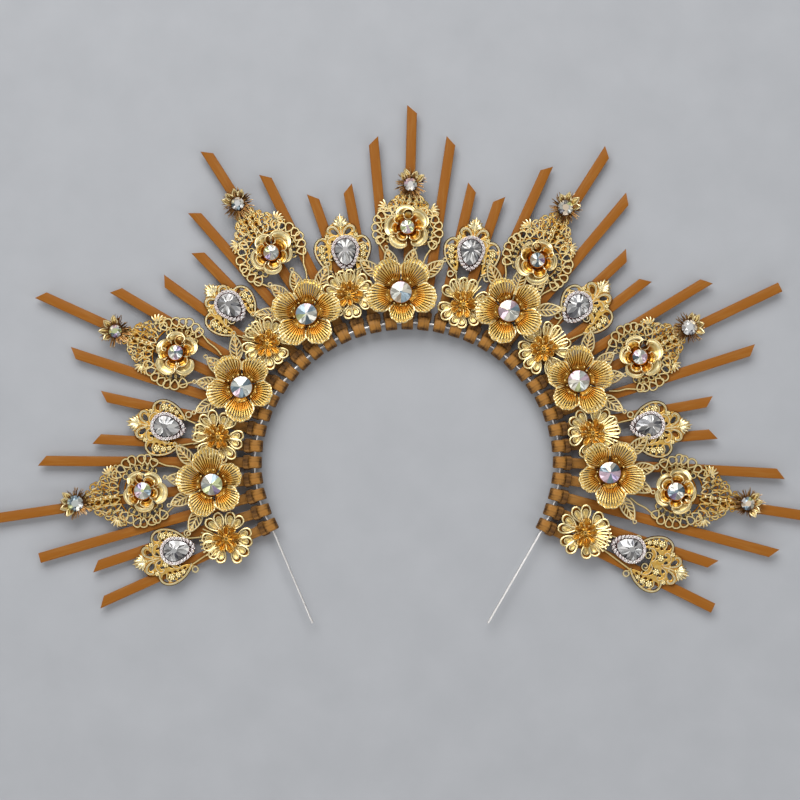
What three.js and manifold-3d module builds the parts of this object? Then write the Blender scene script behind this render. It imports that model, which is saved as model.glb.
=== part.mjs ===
// Halo crown: painted cable ties looped round an open wire hoop, with gold filigree ornaments and
// cut stones glued on the tails. It lies flat on the tie heads. Millimetres, +Z up, +Y to the top ray.

import * as THREE from 'three';
import { mergeVertices } from 'three/addons/utils/BufferGeometryUtils.js';
import ManifoldModule from 'manifold-3d';

const { Shape, Path, Vector2, Vector3 } = THREE;
const { degToRad } = THREE.MathUtils;

// Hoop: an open oval of one top arc and two side arcs, with a bare straight wire end on each side
const TOP_RADIUS = 75.2;
const TOP_SWEEP = degToRad(50);
const SIDE_RADIUS = 61.8;
const WIRE_RADIUS = 0.55;
const WIRE_SIDES = 6;
const WIRE_STEPS = 40;
const WIRE_ENDS = { left: { length: 47, turn: degToRad(-8) }, right: { length: 50, turn: degToRad(-1) } };

// Ties: station 1 is the lowest on the left, the middle one points to +Y
const MIDDLE_TIE = 19;
const TIE_PITCH = 7.75;
const STRAP_WIDTH = 4.8;
const STRAP_THICKNESS = 1.3;
const TAIL_BOTTOM = 3.1;
const HEAD_WIDTH = 6.7;
const HEAD_NEAR = 1.6;
const HEAD_FAR = 5.6;
const HEAD_HEIGHT = 7.5;
const HEAD_CHAMFER = 0.9;
const LOOP_HALF_WIDTH = 2.85;
const LOOP_HALF_HEIGHT = 2.3;
const LOOP_SWEEP = degToRad(270);
const LOOP_STEPS = 5;
const CUT_SLANT = 4;

// The tails fan out a little more than the hoop's normals do, and grow longer towards the sides
const LEAN = degToRad(4.8);
const LEAN_WAVE = 1.75;
const REACH = {
  long: { atTop: 104, perDegree: 0.29 },
  medium: { atTop: 87, perDegree: 0.2 },
  short: { atTop: 67, perDegree: 0.155 },
};
const REACH_PATTERN = ['long', 'medium', 'short', 'short', 'medium'];

// Hand-cut variation of each tie: trim (mm) and swing (degrees), and the edge that the tip points on:
// -1 left, 1 right, 0 square, seen from the hoop
const TIES = [
  { trim: 3.5, swing: 1.5, cut: -1 },
  { trim: 1, swing: 2, cut: -1 },
  { trim: -0.5, swing: -2, cut: 0 },
  { trim: 3, swing: -1, cut: 0 },
  { trim: -2.5, swing: 2, cut: -1 },
  { trim: -2.5, swing: -2.5, cut: -1 },
  { trim: -1.5, swing: 1, cut: 1 },
  { trim: -3.5, swing: 0, cut: 1 },
  { trim: 0.5, swing: 0, cut: -1 },
  { trim: -5.5, swing: -1.5, cut: -1 },
  { trim: 2, swing: -1.5, cut: 1 },
  { trim: 0.5, swing: 2.5, cut: -1 },
  { trim: -4.5, swing: -1, cut: -1 },
  { trim: -2.5, swing: 0.5, cut: -1 },
  { trim: -5, swing: 0.5, cut: -1 },
  { trim: -0.5, swing: 1.5, cut: -1 },
  { trim: 0, swing: 2, cut: 1 },
  { trim: 1.5, swing: 1, cut: 1 },
  { trim: 0, swing: 1, cut: -1 },
  { trim: 2, swing: 1.5, cut: -1 },
  { trim: 1, swing: -0.5, cut: -1 },
  { trim: -2, swing: -2, cut: 1 },
  { trim: -2, swing: -2.5, cut: 1 },
  { trim: -2.5, swing: -1, cut: -1 },
  { trim: 3, swing: 0, cut: -1 },
  { trim: 3, swing: 1.5, cut: -1 },
  { trim: 0.5, swing: 1, cut: 1 },
  { trim: 0, swing: 0, cut: 1 },
  { trim: 3, swing: -1, cut: 0 },
  { trim: 2, swing: 0, cut: -1 },
  { trim: -2.5, swing: 0.5, cut: -1 },
  { trim: -4.5, swing: 0.5, cut: 1 },
  { trim: 1.5, swing: 1, cut: 1 },
  { trim: -2.5, swing: 0.5, cut: 0 },
  { trim: 0.5, swing: 1, cut: -1 },
  { trim: -2, swing: -1.5, cut: -1 },
  { trim: 3, swing: -0.5, cut: 0 },
];

// Ornaments on the long ties: [distance out from the wire, offset to the right] of each centre, the turn of
// the large flower in degrees, and the radii of the rose's and the tip flower's stones
const LONG_STATIONS = [
  { tie: 4, flower: [20.5, 0], turn: 16, rose: [53, 1.5], roseStone: 4, tip: [85.5, 0], tipStone: 3.8 },
  { tie: 9, flower: [15, -0.5], turn: 31, rose: [50, 1.5], roseStone: 3.5, tip: [80.5, -1], tipStone: 3 },
  { tie: 14, flower: [17, -1.5], turn: 36, rose: [50.5, 0.5], roseStone: 3.6, tip: [79, 0], tipStone: 3.1 },
  { tie: 19, flower: [14, -3], turn: 36, rose: [45, 0], roseStone: 3.3, tip: [65.5, 1.5], tipStone: 3.1 },
  { tie: 24, flower: [18.5, 1], turn: 20, rose: [46, -1], roseStone: 3.5, tip: [74.5, -3.5], tipStone: 3.6 },
  { tie: 29, flower: [18.5, -1], turn: 5, rose: [49.5, 0.5], roseStone: 3.5, tip: [77, -2.5], tipStone: 3.7 },
  { tie: 34, flower: [23, -6], turn: 12, rose: [55, -1.5], roseStone: 4.1, tip: [89.5, -0.5], tipStone: 3.2 },
];

// Ornaments midway between two short ties, and how far the plate's middle lies beyond the pear stone and to
// the right of it
const SHORT_STATIONS = [
  { tie: 1.5, bloom: [21, -1.5], pear: [46, 3], plate: [3.5, -1.9] },
  { tie: 6.5, bloom: [18, -2], pear: [44, -0.5], plate: [1.3, -1.1] },
  { tie: 11.5, bloom: [17.5, -0.5], pear: [44, 1.5], plate: [-2.7, -1.5] },
  { tie: 16.5, bloom: [17, -3.5], pear: [38.5, 1], plate: [0.1, -1.3] },
  { tie: 21.5, bloom: [12.5, 4], pear: [38.5, 0], plate: [-1.2, 0.5] },
  { tie: 26.5, bloom: [14.5, 1.5], pear: [41, -3.5], plate: [1.2, 4] },
  { tie: 31.5, bloom: [16.5, 0], pear: [44.5, 0], plate: [2.4, 2.4] },
  { tie: 36.5, bloom: [18.5, -0.5], pear: [42, -2], plate: [12.5, 2.8] },
];

// Levels: pierced plates lie just over the tails, leaves over the plates, petals over the heads
const GAP = 0.3;
const WIRE_GAP = 0.45;
const PLATE_THICKNESS = 1;
const LEAF_THICKNESS = 0.8;
const ROOT = 0.4;
const TAIL_TOP = TAIL_BOTTOM + STRAP_THICKNESS;
const WIRE_HEIGHT = TAIL_TOP + WIRE_GAP + WIRE_RADIUS;
const PLATE_BOTTOM = TAIL_TOP + GAP;
const PLATE_TOP = PLATE_BOTTOM + PLATE_THICKNESS;
const LEAF_BOTTOM = PLATE_TOP + GAP;
const LEAF_TOP = LEAF_BOTTOM + LEAF_THICKNESS;
const PETAL_BOTTOM = HEAD_HEIGHT + GAP;

// Turned flowers: radii, heights over the level that each starts from, and the factors on the radius that
// repeat round the petals from -Y on. A rose's and a tip flower's table is a factor on the stone's radius
const FLOWER = {
  segments: 20,
  stem: 4.5,
  middle: 10,
  middleRise: 2.4,
  radius: 16.5,
  rise: 4.8,
  thickness: 0.9,
  petal: [1, 1, 0.68, 1],
  stone: 5.1,
  table: 1.8,
  crown: 3.8,
};
const FLOWER_PETAL = degToRad(36);
const ROSE = {
  segments: 15,
  stem: 4.5,
  radius: 11,
  rise: 3.2,
  petal: [0.72, 1, 1],
  hollow: 5.4,
  hollowRise: 2.6,
  inner: 6.8,
  innerRise: 4.4,
  innerPetal: [1, 0.8, 0.8],
  girdle: 3.9,
  table: 0.53,
  crown: 5.4,
};
const TIP_FLOWER = {
  segments: 12,
  stem: 2.4,
  radius: 7.5,
  rise: 2.6,
  petal: [1, 0.6],
  girdle: 1.9,
  table: 0.53,
  crown: 3.9,
};
const BLOOM = {
  segments: 18,
  stem: 3.4,
  radius: 12,
  rise: 1.7,
  petal: [1, 1, 0.62],
  hollow: 4.8,
  hollowRise: 0.9,
  inner: 6.8,
  innerRise: 2.2,
  innerPetal: [0.85, 0.85, 1],
  eye: 1.4,
  eyeRise: 1.5,
};

// Pear stone: a halo wall, then a crown up to the table, given as factors on the radius
const PEAR = {
  facets: 12,
  radius: 6.75,
  point: 0.52,
  sharpness: 4,
  wall: 1.3,
  girdle: 0.76,
  girdleRise: 1.6,
  table: 0.42,
  crown: 3,
};

// Leaves of the large flower's spray: bearing from the outward direction, distances from its centre
const LEAF = { root: 3.5, rootHalf: 0.7, widest: 0.7 };
const LEAF_SLIT = { start: 3, widest: 0.4, half: 1.4, end: 1.4 };
const LEAVES = [
  { bearing: degToRad(-53), tip: 22, half: 2.6, pierced: false },
  { bearing: degToRad(-17), tip: 20, half: 2.8, pierced: true },
  { bearing: degToRad(17), tip: 20, half: 2.8, pierced: true },
  { bearing: degToRad(53), tip: 22, half: 2.6, pierced: false },
];

// Fan: the edge's half width along the base, then along the way from the rose to the tip flower
const FAN_BASE = 21;
const FAN_EDGE = [
  { along: 0, half: 6 },
  { along: 0.3, half: 9.5 },
  { along: 0.55, half: 13.5 },
  { along: 1, half: 16 },
];
const FAN_SHOULDER = [
  { along: 0.22, half: 16 },
  { along: 0.44, half: 13.4 },
  { along: 0.54, half: 12.6 },
  { along: 0.64, half: 7.6 },
  { along: 0.82, half: 2.8 },
];
const FAN_TIP_HALF = 1.8;
const FAN_SCALLOP = 0.7;
const FAN_SCALES = { count: 7, step: degToRad(34), near: 9.4, far: 13.4, half: 2.6, widest: 0.6 };
const FAN_NECK = { least: 14.6, start: 0.52, end: 0.84, half: 1.3 };
const FAN_BASE_GAP = [[4.6, -19.6], [8.2, -14], [11.3, -9.8], [0, -8]];

// Drop: the right half of its edge from the legs to the crest, and its gaps
const DROP_EDGE = [
  [7.2, -10.4],
  [9.8, -8.4],
  [12.5, -4.6],
  [13.6, 0.2],
  [12.8, 4.2],
  [10.2, 6.6],
  [7.6, 6.2],
  [8.2, 8.8],
  [6.2, 11.8],
  [3.4, 12.4],
  [0, 15.6],
];
const DROP_LEG = { foot: 2.4, top: -9.8, gapTop: 4.6, gapFoot: 0.9, end: 4.5 };
const DROP_LOBE_GAP = [[8.4, -7], [10.9, -4.6], [11.8, 0.2], [10.4, 4], [8.6, 3.6], [8, -2.5]];
const DROP_SCROLL_GAP = [[1.5, 8.6], [4.6, 8.4], [6, 9.4], [4.2, 10.9], [1.9, 10.4]];

const PAST_LAST_TIE = 3;
const HOOP_HALF = (MIDDLE_TIE - 1) * TIE_PITCH + PAST_LAST_TIE;
const MERGE_DISTANCE = 1e-4;

const PAINT = finish(0xb46a26, 0.55, 0);
const SILVER = finish(0xcfcac4, 0.3, 1);
const GOLD = finish(0xd9a848, 0.25, 1);

const wasm = await ManifoldModule();
wasm.setup();

function finish(color, roughness, metalness) {
  return new THREE.MeshStandardMaterial({ color, roughness, metalness, flatShading: true });
}

// Joining: a closed geometry becomes a solid, and solids are joined into one body
function solidOf(geometry) {
  const bare = geometry.clone();
  bare.deleteAttribute('normal');
  bare.deleteAttribute('uv');
  const merged = mergeVertices(bare, MERGE_DISTANCE);
  const corners = [];
  for (let first = 0; first < merged.index.count; first += 3) {
    const triangle = [0, 1, 2].map((corner) => merged.index.getX(first + corner));
    if (new Set(triangle).size === 3) corners.push(...triangle);
  }
  const vertProperties = merged.attributes.position.array;
  const triVerts = new Uint32Array(corners);
  return new wasm.Manifold(new wasm.Mesh({ numProp: 3, vertProperties, triVerts }));
}

function joined(geometries) {
  const whole = geometries.map(solidOf).reduce((sum, piece) => sum.add(piece));
  const { vertProperties, triVerts } = whole.getMesh();
  const geometry = new THREE.BufferGeometry();
  geometry.setAttribute('position', new THREE.BufferAttribute(vertProperties, 3));
  geometry.setIndex(new THREE.BufferAttribute(triVerts, 1));
  return geometry;
}

// A flat plate between two heights, with holes cut through it
function plate(outline, bottom, top, holes = []) {
  const shape = new Shape(outline);
  shape.holes = holes.map((hole) => new Path(hole));
  const geometry = new THREE.ExtrudeGeometry(shape, { depth: top - bottom, bevelEnabled: false });
  return geometry.translate(0, 0, bottom);
}

// A solid turned about Z from rows of [radius, height, lobe], where lobe gives the factor on the radius
// for each segment, counted from -Y
function turned(profile, segments) {
  const side = profile.map(([radius, height]) => new Vector2(radius, height));
  const geometry = new THREE.LatheGeometry(side, segments);
  geometry.rotateX(Math.PI / 2);
  const { position } = geometry.attributes;
  for (let index = 0; index < position.count; index += 1) {
    const [, , lobe] = profile[index % profile.length];
    const segment = Math.floor(index / profile.length) % segments;
    const factor = lobe ? lobe(segment) : 1;
    position.setXY(index, position.getX(index) * factor, position.getY(index) * factor);
  }
  return geometry;
}

// The points of a right half from one end to the other, and their mirror image back
function mirrored(half) {
  const back = half.filter((point) => point.x > 0).reverse();
  return [...half, ...back.map((point) => new Vector2(-point.x, point.y))];
}

function points(rows) {
  return rows.map(([x, y]) => new Vector2(x, y));
}

// Hoop: the point and the outward bearing, clockwise from +Y, at a distance along the wire from the top
function hoopAt(distance) {
  const side = Math.sign(distance);
  const length = Math.abs(distance);
  const topLength = TOP_RADIUS * TOP_SWEEP;
  const onTop = length <= topLength;
  const radius = onTop ? TOP_RADIUS : SIDE_RADIUS;
  const bearing = onTop ? length / TOP_RADIUS : TOP_SWEEP + (length - topLength) / SIDE_RADIUS;
  const shift = TOP_RADIUS - radius;
  const x = shift * Math.sin(TOP_SWEEP) + radius * Math.sin(bearing);
  const y = shift * Math.cos(TOP_SWEEP) + radius * Math.cos(bearing);
  return { point: new Vector2(side * x, y), bearing: side * bearing };
}

class HoopCurve extends THREE.Curve {
  getPoint(fraction, target = new Vector3()) {
    const { left, right } = WIRE_ENDS;
    const distance = fraction * (left.length + 2 * HOOP_HALF + right.length) - left.length - HOOP_HALF;
    const onHoop = THREE.MathUtils.clamp(distance, -HOOP_HALF, HOOP_HALF);
    const past = distance - onHoop;
    const { point, bearing } = hoopAt(onHoop);
    const turn = past < 0 ? -left.turn : right.turn;
    const heading = past === 0 ? bearing : bearing + turn;
    return target.set(point.x + past * Math.cos(heading), point.y - past * Math.sin(heading), WIRE_HEIGHT);
  }
}

function wireGeometry() {
  const section = new Shape();
  section.absarc(0, 0, WIRE_RADIUS, 0, 2 * Math.PI);
  const outline = new Shape(section.getSpacedPoints(WIRE_SIDES).slice(0, WIRE_SIDES));
  const options = { steps: WIRE_STEPS, extrudePath: new HoopCurve(), bevelEnabled: false };
  return new THREE.ExtrudeGeometry(outline, options);
}

// Ties, in a frame with the wire over the origin, +Y outward and +X to the right
function strapGeometry(reach, cut) {
  const half = STRAP_THICKNESS / 2;
  const loopHeight = TAIL_BOTTOM + half + LOOP_HALF_HEIGHT;
  const outer = [];
  const inner = [];
  for (let step = 0; step <= LOOP_STEPS; step += 1) {
    const angle = (LOOP_SWEEP * step) / LOOP_STEPS;
    const across = Math.cos(angle);
    const up = Math.sin(angle);
    outer.push([(LOOP_HALF_WIDTH + half) * across, loopHeight + (LOOP_HALF_HEIGHT + half) * up]);
    inner.unshift([(LOOP_HALF_WIDTH - half) * across, loopHeight + (LOOP_HALF_HEIGHT - half) * up]);
  }
  const tailEnd = [[reach, TAIL_BOTTOM], [reach, TAIL_BOTTOM + STRAP_THICKNESS]];
  const profile = new Shape(points([...outer, ...tailEnd, ...inner]));
  const geometry = new THREE.ExtrudeGeometry(profile, { depth: STRAP_WIDTH, bevelEnabled: false });
  geometry.translate(0, 0, -STRAP_WIDTH / 2);
  const alongStrap = new THREE.Matrix4();
  alongStrap.makeBasis(new Vector3(0, 1, 0), new Vector3(0, 0, 1), new Vector3(1, 0, 0));
  geometry.applyMatrix4(alongStrap);
  if (cut !== 0) slantEnd(geometry, reach, cut);
  return geometry;
}

function slantEnd(geometry, reach, cut) {
  const { position } = geometry.attributes;
  for (let index = 0; index < position.count; index += 1) {
    const fromPoint = 0.5 - (cut * position.getX(index)) / STRAP_WIDTH;
    if (position.getY(index) > reach - CUT_SLANT) {
      position.setY(index, reach - CUT_SLANT * fromPoint);
    }
  }
}

function headGeometry() {
  const half = HEAD_WIDTH / 2;
  const outline = [
    [half, HEAD_NEAR],
    [half, HEAD_FAR - HEAD_CHAMFER],
    [half - HEAD_CHAMFER, HEAD_FAR],
  ];
  return plate(mirrored(points(outline)), 0, HEAD_HEIGHT);
}

function tieGeometry(reach, cut) {
  return joined([strapGeometry(reach, cut), headGeometry()]);
}

// A row of factors that repeats round a turned solid, from -Y on
function lobes(factors) {
  return (segment) => factors[segment % factors.length];
}

// Pear stone: a halo of small stones round a raised crown with a flat table
function pearStone() {
  const { facets, radius, point, sharpness, wall, girdle, girdleRise, table, crown: height } = PEAR;
  const towardPoint = (segment) => Math.max(0, Math.cos((2 * Math.PI * segment) / facets));
  const stretch = (segment) => 1 + point * towardPoint(segment) ** sharpness;
  const profile = [
    [0, PLATE_TOP - ROOT],
    [radius, PLATE_TOP - ROOT, stretch],
    [radius, PLATE_TOP + wall, stretch],
    [radius * girdle, PLATE_TOP + girdleRise, stretch],
    [radius * table, PLATE_TOP + height, stretch],
    [0, PLATE_TOP + height],
  ];
  return turned(profile, facets);
}

// Large flower: a stem on the tails, broad cupped petals over the heads, and a round stone with a table
function flowerHead() {
  const { segments, stem, middle, middleRise, radius, rise, thickness, stone, table, crown: height } = FLOWER;
  const petal = lobes(FLOWER.petal);
  const profile = [
    [0, PLATE_BOTTOM],
    [stem, PLATE_BOTTOM],
    [stem, PETAL_BOTTOM],
    [middle, PETAL_BOTTOM + middleRise, petal],
    [radius, PETAL_BOTTOM + rise, petal],
    [middle, PETAL_BOTTOM + middleRise + thickness, petal],
    [stone, PETAL_BOTTOM + thickness],
    [table, PETAL_BOTTOM + height],
    [0, PETAL_BOTTOM + height],
  ];
  return turned(profile, segments);
}

function leafGeometry({ bearing, tip, half, pierced }) {
  const { root, rootHalf, widest } = LEAF;
  const middle = tip * widest;
  const outline = mirrored(points([[rootHalf, root], [half, middle], [0, tip]]));
  const { start, widest: slitWidest, half: slitHalf, end } = LEAF_SLIT;
  const slit = mirrored(points([[0, middle - start], [slitHalf, middle + slitWidest], [0, tip - end]]));
  return plate(outline, LEAF_BOTTOM, LEAF_TOP, pierced ? [slit] : []).rotateZ(-bearing);
}

function flowerGeometry(turn) {
  return joined([flowerHead().rotateZ(FLOWER_PETAL - degToRad(turn)), ...LEAVES.map(leafGeometry)]);
}

// Fan, in a frame with the rose over the origin and the tip flower towards +Y
function fanPlate(tipDistance) {
  const base = FAN_EDGE.map(({ along, half }) => [half, -FAN_BASE * (1 - along)]);
  const shoulder = FAN_SHOULDER.map(({ along, half }) => [half, tipDistance * along]);
  const rim = scalloped(points([base.at(-1), ...shoulder]));
  const half = [...points(base.slice(0, -1)), ...rim, new Vector2(FAN_TIP_HALF, tipDistance)];
  const outline = mirrored(half);
  return plate(outline, PLATE_BOTTOM, PLATE_TOP, fanGaps(tipDistance));
}

function scalloped(edge) {
  const notched = [];
  edge.forEach((point, index) => {
    notched.push(point);
    const next = edge[index + 1];
    if (next) {
      const middle = point.clone().lerp(next, 0.5);
      notched.push(middle.sub(new Vector2(FAN_SCALLOP, 0)));
    }
  });
  return notched;
}

function fanGaps(tipDistance) {
  const { count, step, near, far, half, widest } = FAN_SCALES;
  const gaps = [];
  for (let scale = 0; scale < count; scale += 1) {
    const bearing = (scale - (count - 1) / 2) * step;
    const outline = mirrored(points([[0, near], [half, near + (far - near) * widest], [0, far]]));
    gaps.push(outline.map((point) => point.rotateAround(new Vector2(), -bearing)));
  }
  const neck = Math.max(FAN_NECK.least, FAN_NECK.start * tipDistance);
  const neckEnd = FAN_NECK.end * tipDistance;
  gaps.push(mirrored(points([[0, neck], [FAN_NECK.half, (neck + neckEnd) / 2], [0, neckEnd]])));
  gaps.push(mirrored(points(FAN_BASE_GAP)));
  return gaps;
}

function rose(stone) {
  const { segments, stem, radius, rise, hollow, hollowRise, inner, innerRise, girdle, table } = ROSE;
  const profile = [
    [0, PLATE_TOP - ROOT],
    [stem, PLATE_TOP - ROOT],
    [radius, PLATE_TOP + rise, lobes(ROSE.petal)],
    [hollow, PLATE_TOP + hollowRise],
    [inner, PLATE_TOP + innerRise, lobes(ROSE.innerPetal)],
    [stone, PLATE_TOP + girdle],
    [stone * table, PLATE_TOP + ROSE.crown],
    [0, PLATE_TOP + ROSE.crown],
  ];
  return turned(profile, segments);
}

function tipFlower(tipDistance, stone) {
  const { segments, stem, radius, rise, girdle, table, crown: height } = TIP_FLOWER;
  const profile = [
    [0, PLATE_BOTTOM],
    [stem, PLATE_BOTTOM],
    [radius, PLATE_BOTTOM + rise, lobes(TIP_FLOWER.petal)],
    [stone, PLATE_BOTTOM + girdle],
    [stone * table, PLATE_BOTTOM + height],
    [0, PLATE_BOTTOM + height],
  ];
  return turned(profile, segments).translate(0, tipDistance, 0);
}

function fanGeometry(tipDistance, roseStone, tipStone) {
  return joined([fanPlate(tipDistance), rose(roseStone), tipFlower(tipDistance, tipStone)]);
}

// Drop, in a frame with the pear over the origin, the crest towards +Y and the bloom towards -Y
function dropPlate(stalk, [beyond, right]) {
  const { foot, top, gapTop, gapFoot, end } = DROP_LEG;
  const shifted = (outline) => outline.map((point) => new Vector2(point.x + right, point.y + beyond));
  const otherSide = (outline) => outline.map((point) => new Vector2(-point.x, point.y));
  const edge = shifted(mirrored(points(DROP_EDGE)));
  const outline = [new Vector2(foot, -stalk), ...edge, new Vector2(-foot, -stalk)];
  const lobe = points(DROP_LOBE_GAP);
  const scroll = points(DROP_SCROLL_GAP);
  const pierced = [lobe, otherSide(lobe), scroll, otherSide(scroll)].map(shifted);
  const legs = [
    ...shifted(points([[-gapTop, top], [gapTop, top]])),
    ...points([[gapFoot, end - stalk], [-gapFoot, end - stalk]]),
  ];
  return plate(outline, PLATE_BOTTOM, PLATE_TOP, [...pierced, legs]);
}

function bloom(stalk) {
  const { segments, stem, radius, rise, hollow, hollowRise, inner, innerRise, eye, eyeRise } = BLOOM;
  const profile = [
    [0, PLATE_TOP - ROOT],
    [stem, PLATE_TOP - ROOT],
    [stem, PETAL_BOTTOM],
    [radius, PETAL_BOTTOM + rise, lobes(BLOOM.petal)],
    [hollow, PETAL_BOTTOM + hollowRise],
    [inner, PETAL_BOTTOM + innerRise, lobes(BLOOM.innerPetal)],
    [eye, PETAL_BOTTOM + eyeRise],
    [0, PETAL_BOTTOM + eyeRise],
  ];
  return turned(profile, segments).translate(0, -stalk, 0);
}

function dropGeometry(stalk, shift) {
  return joined([dropPlate(stalk, shift), pearStone(), bloom(stalk)]);
}

// Places round the hoop
function stationAt(tie) {
  const { point, bearing } = hoopAt((tie - MIDDLE_TIE) * TIE_PITCH);
  return { point, bearing: bearing + LEAN * Math.sin(LEAN_WAVE * bearing) };
}

function placeAt({ point, bearing }, [out, right]) {
  const x = point.x + out * Math.sin(bearing) + right * Math.cos(bearing);
  const y = point.y + out * Math.cos(bearing) - right * Math.sin(bearing);
  return new Vector2(x, y);
}

function bearingFrom(start, end) {
  return Math.atan2(end.x - start.x, end.y - start.y);
}

function placed(name, geometry, material, point, bearing) {
  const mesh = new THREE.Mesh(geometry, material);
  mesh.name = name;
  mesh.position.set(point.x, point.y, 0);
  mesh.rotation.z = -bearing;
  return mesh;
}

function wireHoop() {
  const mesh = new THREE.Mesh(wireGeometry(), SILVER);
  mesh.name = 'wire_hoop';
  return mesh;
}

function tie({ trim, swing, cut }, index) {
  const number = index + 1;
  const period = REACH_PATTERN.length;
  const kind = REACH_PATTERN[(number - MIDDLE_TIE + period * TIES.length) % period];
  const { point, bearing } = stationAt(number);
  const fromTop = Math.abs(THREE.MathUtils.radToDeg(hoopAt((number - MIDDLE_TIE) * TIE_PITCH).bearing));
  const reach = REACH[kind].atTop + REACH[kind].perDegree * fromTop + trim;
  const name = `tie_${String(number).padStart(2, '0')}`;
  return placed(name, tieGeometry(reach, cut), PAINT, point, bearing + degToRad(swing));
}

function flower(row, index) {
  const station = stationAt(row.tie);
  const geometry = flowerGeometry(row.turn);
  return placed(`flower_${index + 1}`, geometry, GOLD, placeAt(station, row.flower), station.bearing);
}

function fan(row, index) {
  const station = stationAt(row.tie);
  const centre = placeAt(station, row.rose);
  const tip = placeAt(station, row.tip);
  const geometry = fanGeometry(centre.distanceTo(tip), row.roseStone, row.tipStone);
  return placed(`fan_${index + 1}`, geometry, GOLD, centre, bearingFrom(centre, tip));
}

function drop(row, index) {
  const station = stationAt(row.tie);
  const centre = placeAt(station, row.pear);
  const foot = placeAt(station, row.bloom);
  const geometry = dropGeometry(foot.distanceTo(centre), row.plate);
  return placed(`drop_${index + 1}`, geometry, GOLD, centre, bearingFrom(foot, centre));
}

// The crown, moved so that its origin is under the middle of its outline
function crown() {
  const pieces = new THREE.Group();
  pieces.add(wireHoop());
  pieces.add(...TIES.map(tie));
  pieces.add(...LONG_STATIONS.map(fan));
  pieces.add(...LONG_STATIONS.map(flower));
  pieces.add(...SHORT_STATIONS.map(drop));
  const middle = new THREE.Box3().setFromObject(pieces, true).getCenter(new Vector3());
  pieces.position.set(-middle.x, -middle.y, 0);
  const whole = new THREE.Group();
  whole.name = 'halo_crown';
  whole.add(pieces);
  return whole;
}

export default crown();
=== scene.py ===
"""Looks of the halo crown: painted ties on a wire hoop, gold filigree, cupped petals and cut stones."""

import math
from collections import namedtuple

import bmesh
import bpy
import numpy as np
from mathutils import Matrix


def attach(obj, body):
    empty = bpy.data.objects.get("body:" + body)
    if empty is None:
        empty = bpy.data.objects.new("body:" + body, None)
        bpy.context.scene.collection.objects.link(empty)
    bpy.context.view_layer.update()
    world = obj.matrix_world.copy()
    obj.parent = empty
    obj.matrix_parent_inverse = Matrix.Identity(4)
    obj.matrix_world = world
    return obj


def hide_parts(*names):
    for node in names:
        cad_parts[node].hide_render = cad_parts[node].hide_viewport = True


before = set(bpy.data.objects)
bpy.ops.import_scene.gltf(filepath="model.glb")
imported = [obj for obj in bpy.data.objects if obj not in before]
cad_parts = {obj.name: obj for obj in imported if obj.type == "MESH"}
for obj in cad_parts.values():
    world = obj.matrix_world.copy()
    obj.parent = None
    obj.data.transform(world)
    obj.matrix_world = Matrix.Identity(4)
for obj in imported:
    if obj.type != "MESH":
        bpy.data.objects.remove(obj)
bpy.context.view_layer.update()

# Sizes are in millimetres, as in the part's source, and a bearing runs clockwise from +Y
MM = 0.001
UP = np.array([0.0, 0.0, 1.0])
FULL_TURN = 2 * math.pi
TINY = 1e-9
SHARP_EDGE = math.radians(42)

# Hoop and ties
HOOP_CENTRE = (2.644, -56.168)
TOP_RADIUS = 75.2
TOP_SWEEP = math.radians(50)
SIDE_RADIUS = 61.8
WIRE_RADIUS = 0.55
WIRE_HEIGHT = 5.4
LEFT_END = {"length": 47, "turn": math.radians(-8)}
RIGHT_END = {"length": 50, "turn": math.radians(-1)}
MIDDLE_TIE = 19
TIE_PITCH = 7.75
HOOP_HALF = (MIDDLE_TIE - 1) * TIE_PITCH + 3
LEAN = math.radians(4.8)
LEAN_WAVE = 1.75
STRAP_WIDTH = 4.8
STRAP_THICKNESS = 1.3
STRAP_CORNER = 0.42
STRAP_BEND = 0.6
TAIL_BOTTOM = 3.1
TAIL_START = 1
LOOP_HALF_WIDTH = 2.85
LOOP_HALF_HEIGHT = 2.3
LOOP_SWEEP = math.radians(270)
LOOP_WIDENING = 1.14
LOOP_WIDE_SPAN = (2, 6)
HEAD = {
    "width": 6.7, "near": 1.6, "far": 5.6, "height": 7.5, "near_corner": 0.4, "far_corner": 0.9,
    "edge": 0.35,
}
HEAD_SLOT = {"frame": 1.3, "inset": 1.5, "depth": 0.2}
TOOTH = {"pitch": 1.3, "crest": 0.8, "depth": 0.21, "root": 0.1, "margin": 0.8, "first": 2}

# Reach of a tie at the top of the hoop and its growth for each degree from there, from a long tie on
REACH_PATTERN = [(104, 0.29), (87, 0.2), (67, 0.155), (67, 0.155), (87, 0.2)]

# Hand-cut variation of each tie: trim, swing in degrees, and the edge that the tip points on
TIES = [
    (3.5, 1.5, -1), (1, 2, -1), (-0.5, -2, 0), (3, -1, 0), (-2.5, 2, -1), (-2.5, -2.5, -1), (-1.5, 1, 1),
    (-3.5, 0, 1), (0.5, 0, -1), (-5.5, -1.5, -1), (2, -1.5, 1), (0.5, 2.5, -1), (-4.5, -1, -1),
    (-2.5, 0.5, -1), (-5, 0.5, -1), (-0.5, 1.5, -1), (0, 2, 1), (1.5, 1, 1), (0, 1, -1), (2, 1.5, -1),
    (1, -0.5, -1), (-2, -2, 1), (-2, -2.5, 1), (-2.5, -1, -1), (3, 0, -1), (3, 1.5, -1), (0.5, 1, 1),
    (0, 0, 1), (3, -1, 0), (2, 0, -1), (-2.5, 0.5, -1), (-4.5, 0.5, 1), (1.5, 1, 1), (-2.5, 0.5, 0),
    (0.5, 1, -1), (-2, -1.5, -1), (3, -0.5, 0),
]
CUT_SLANT = 4
CUT_MARGIN = 0.5

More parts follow.
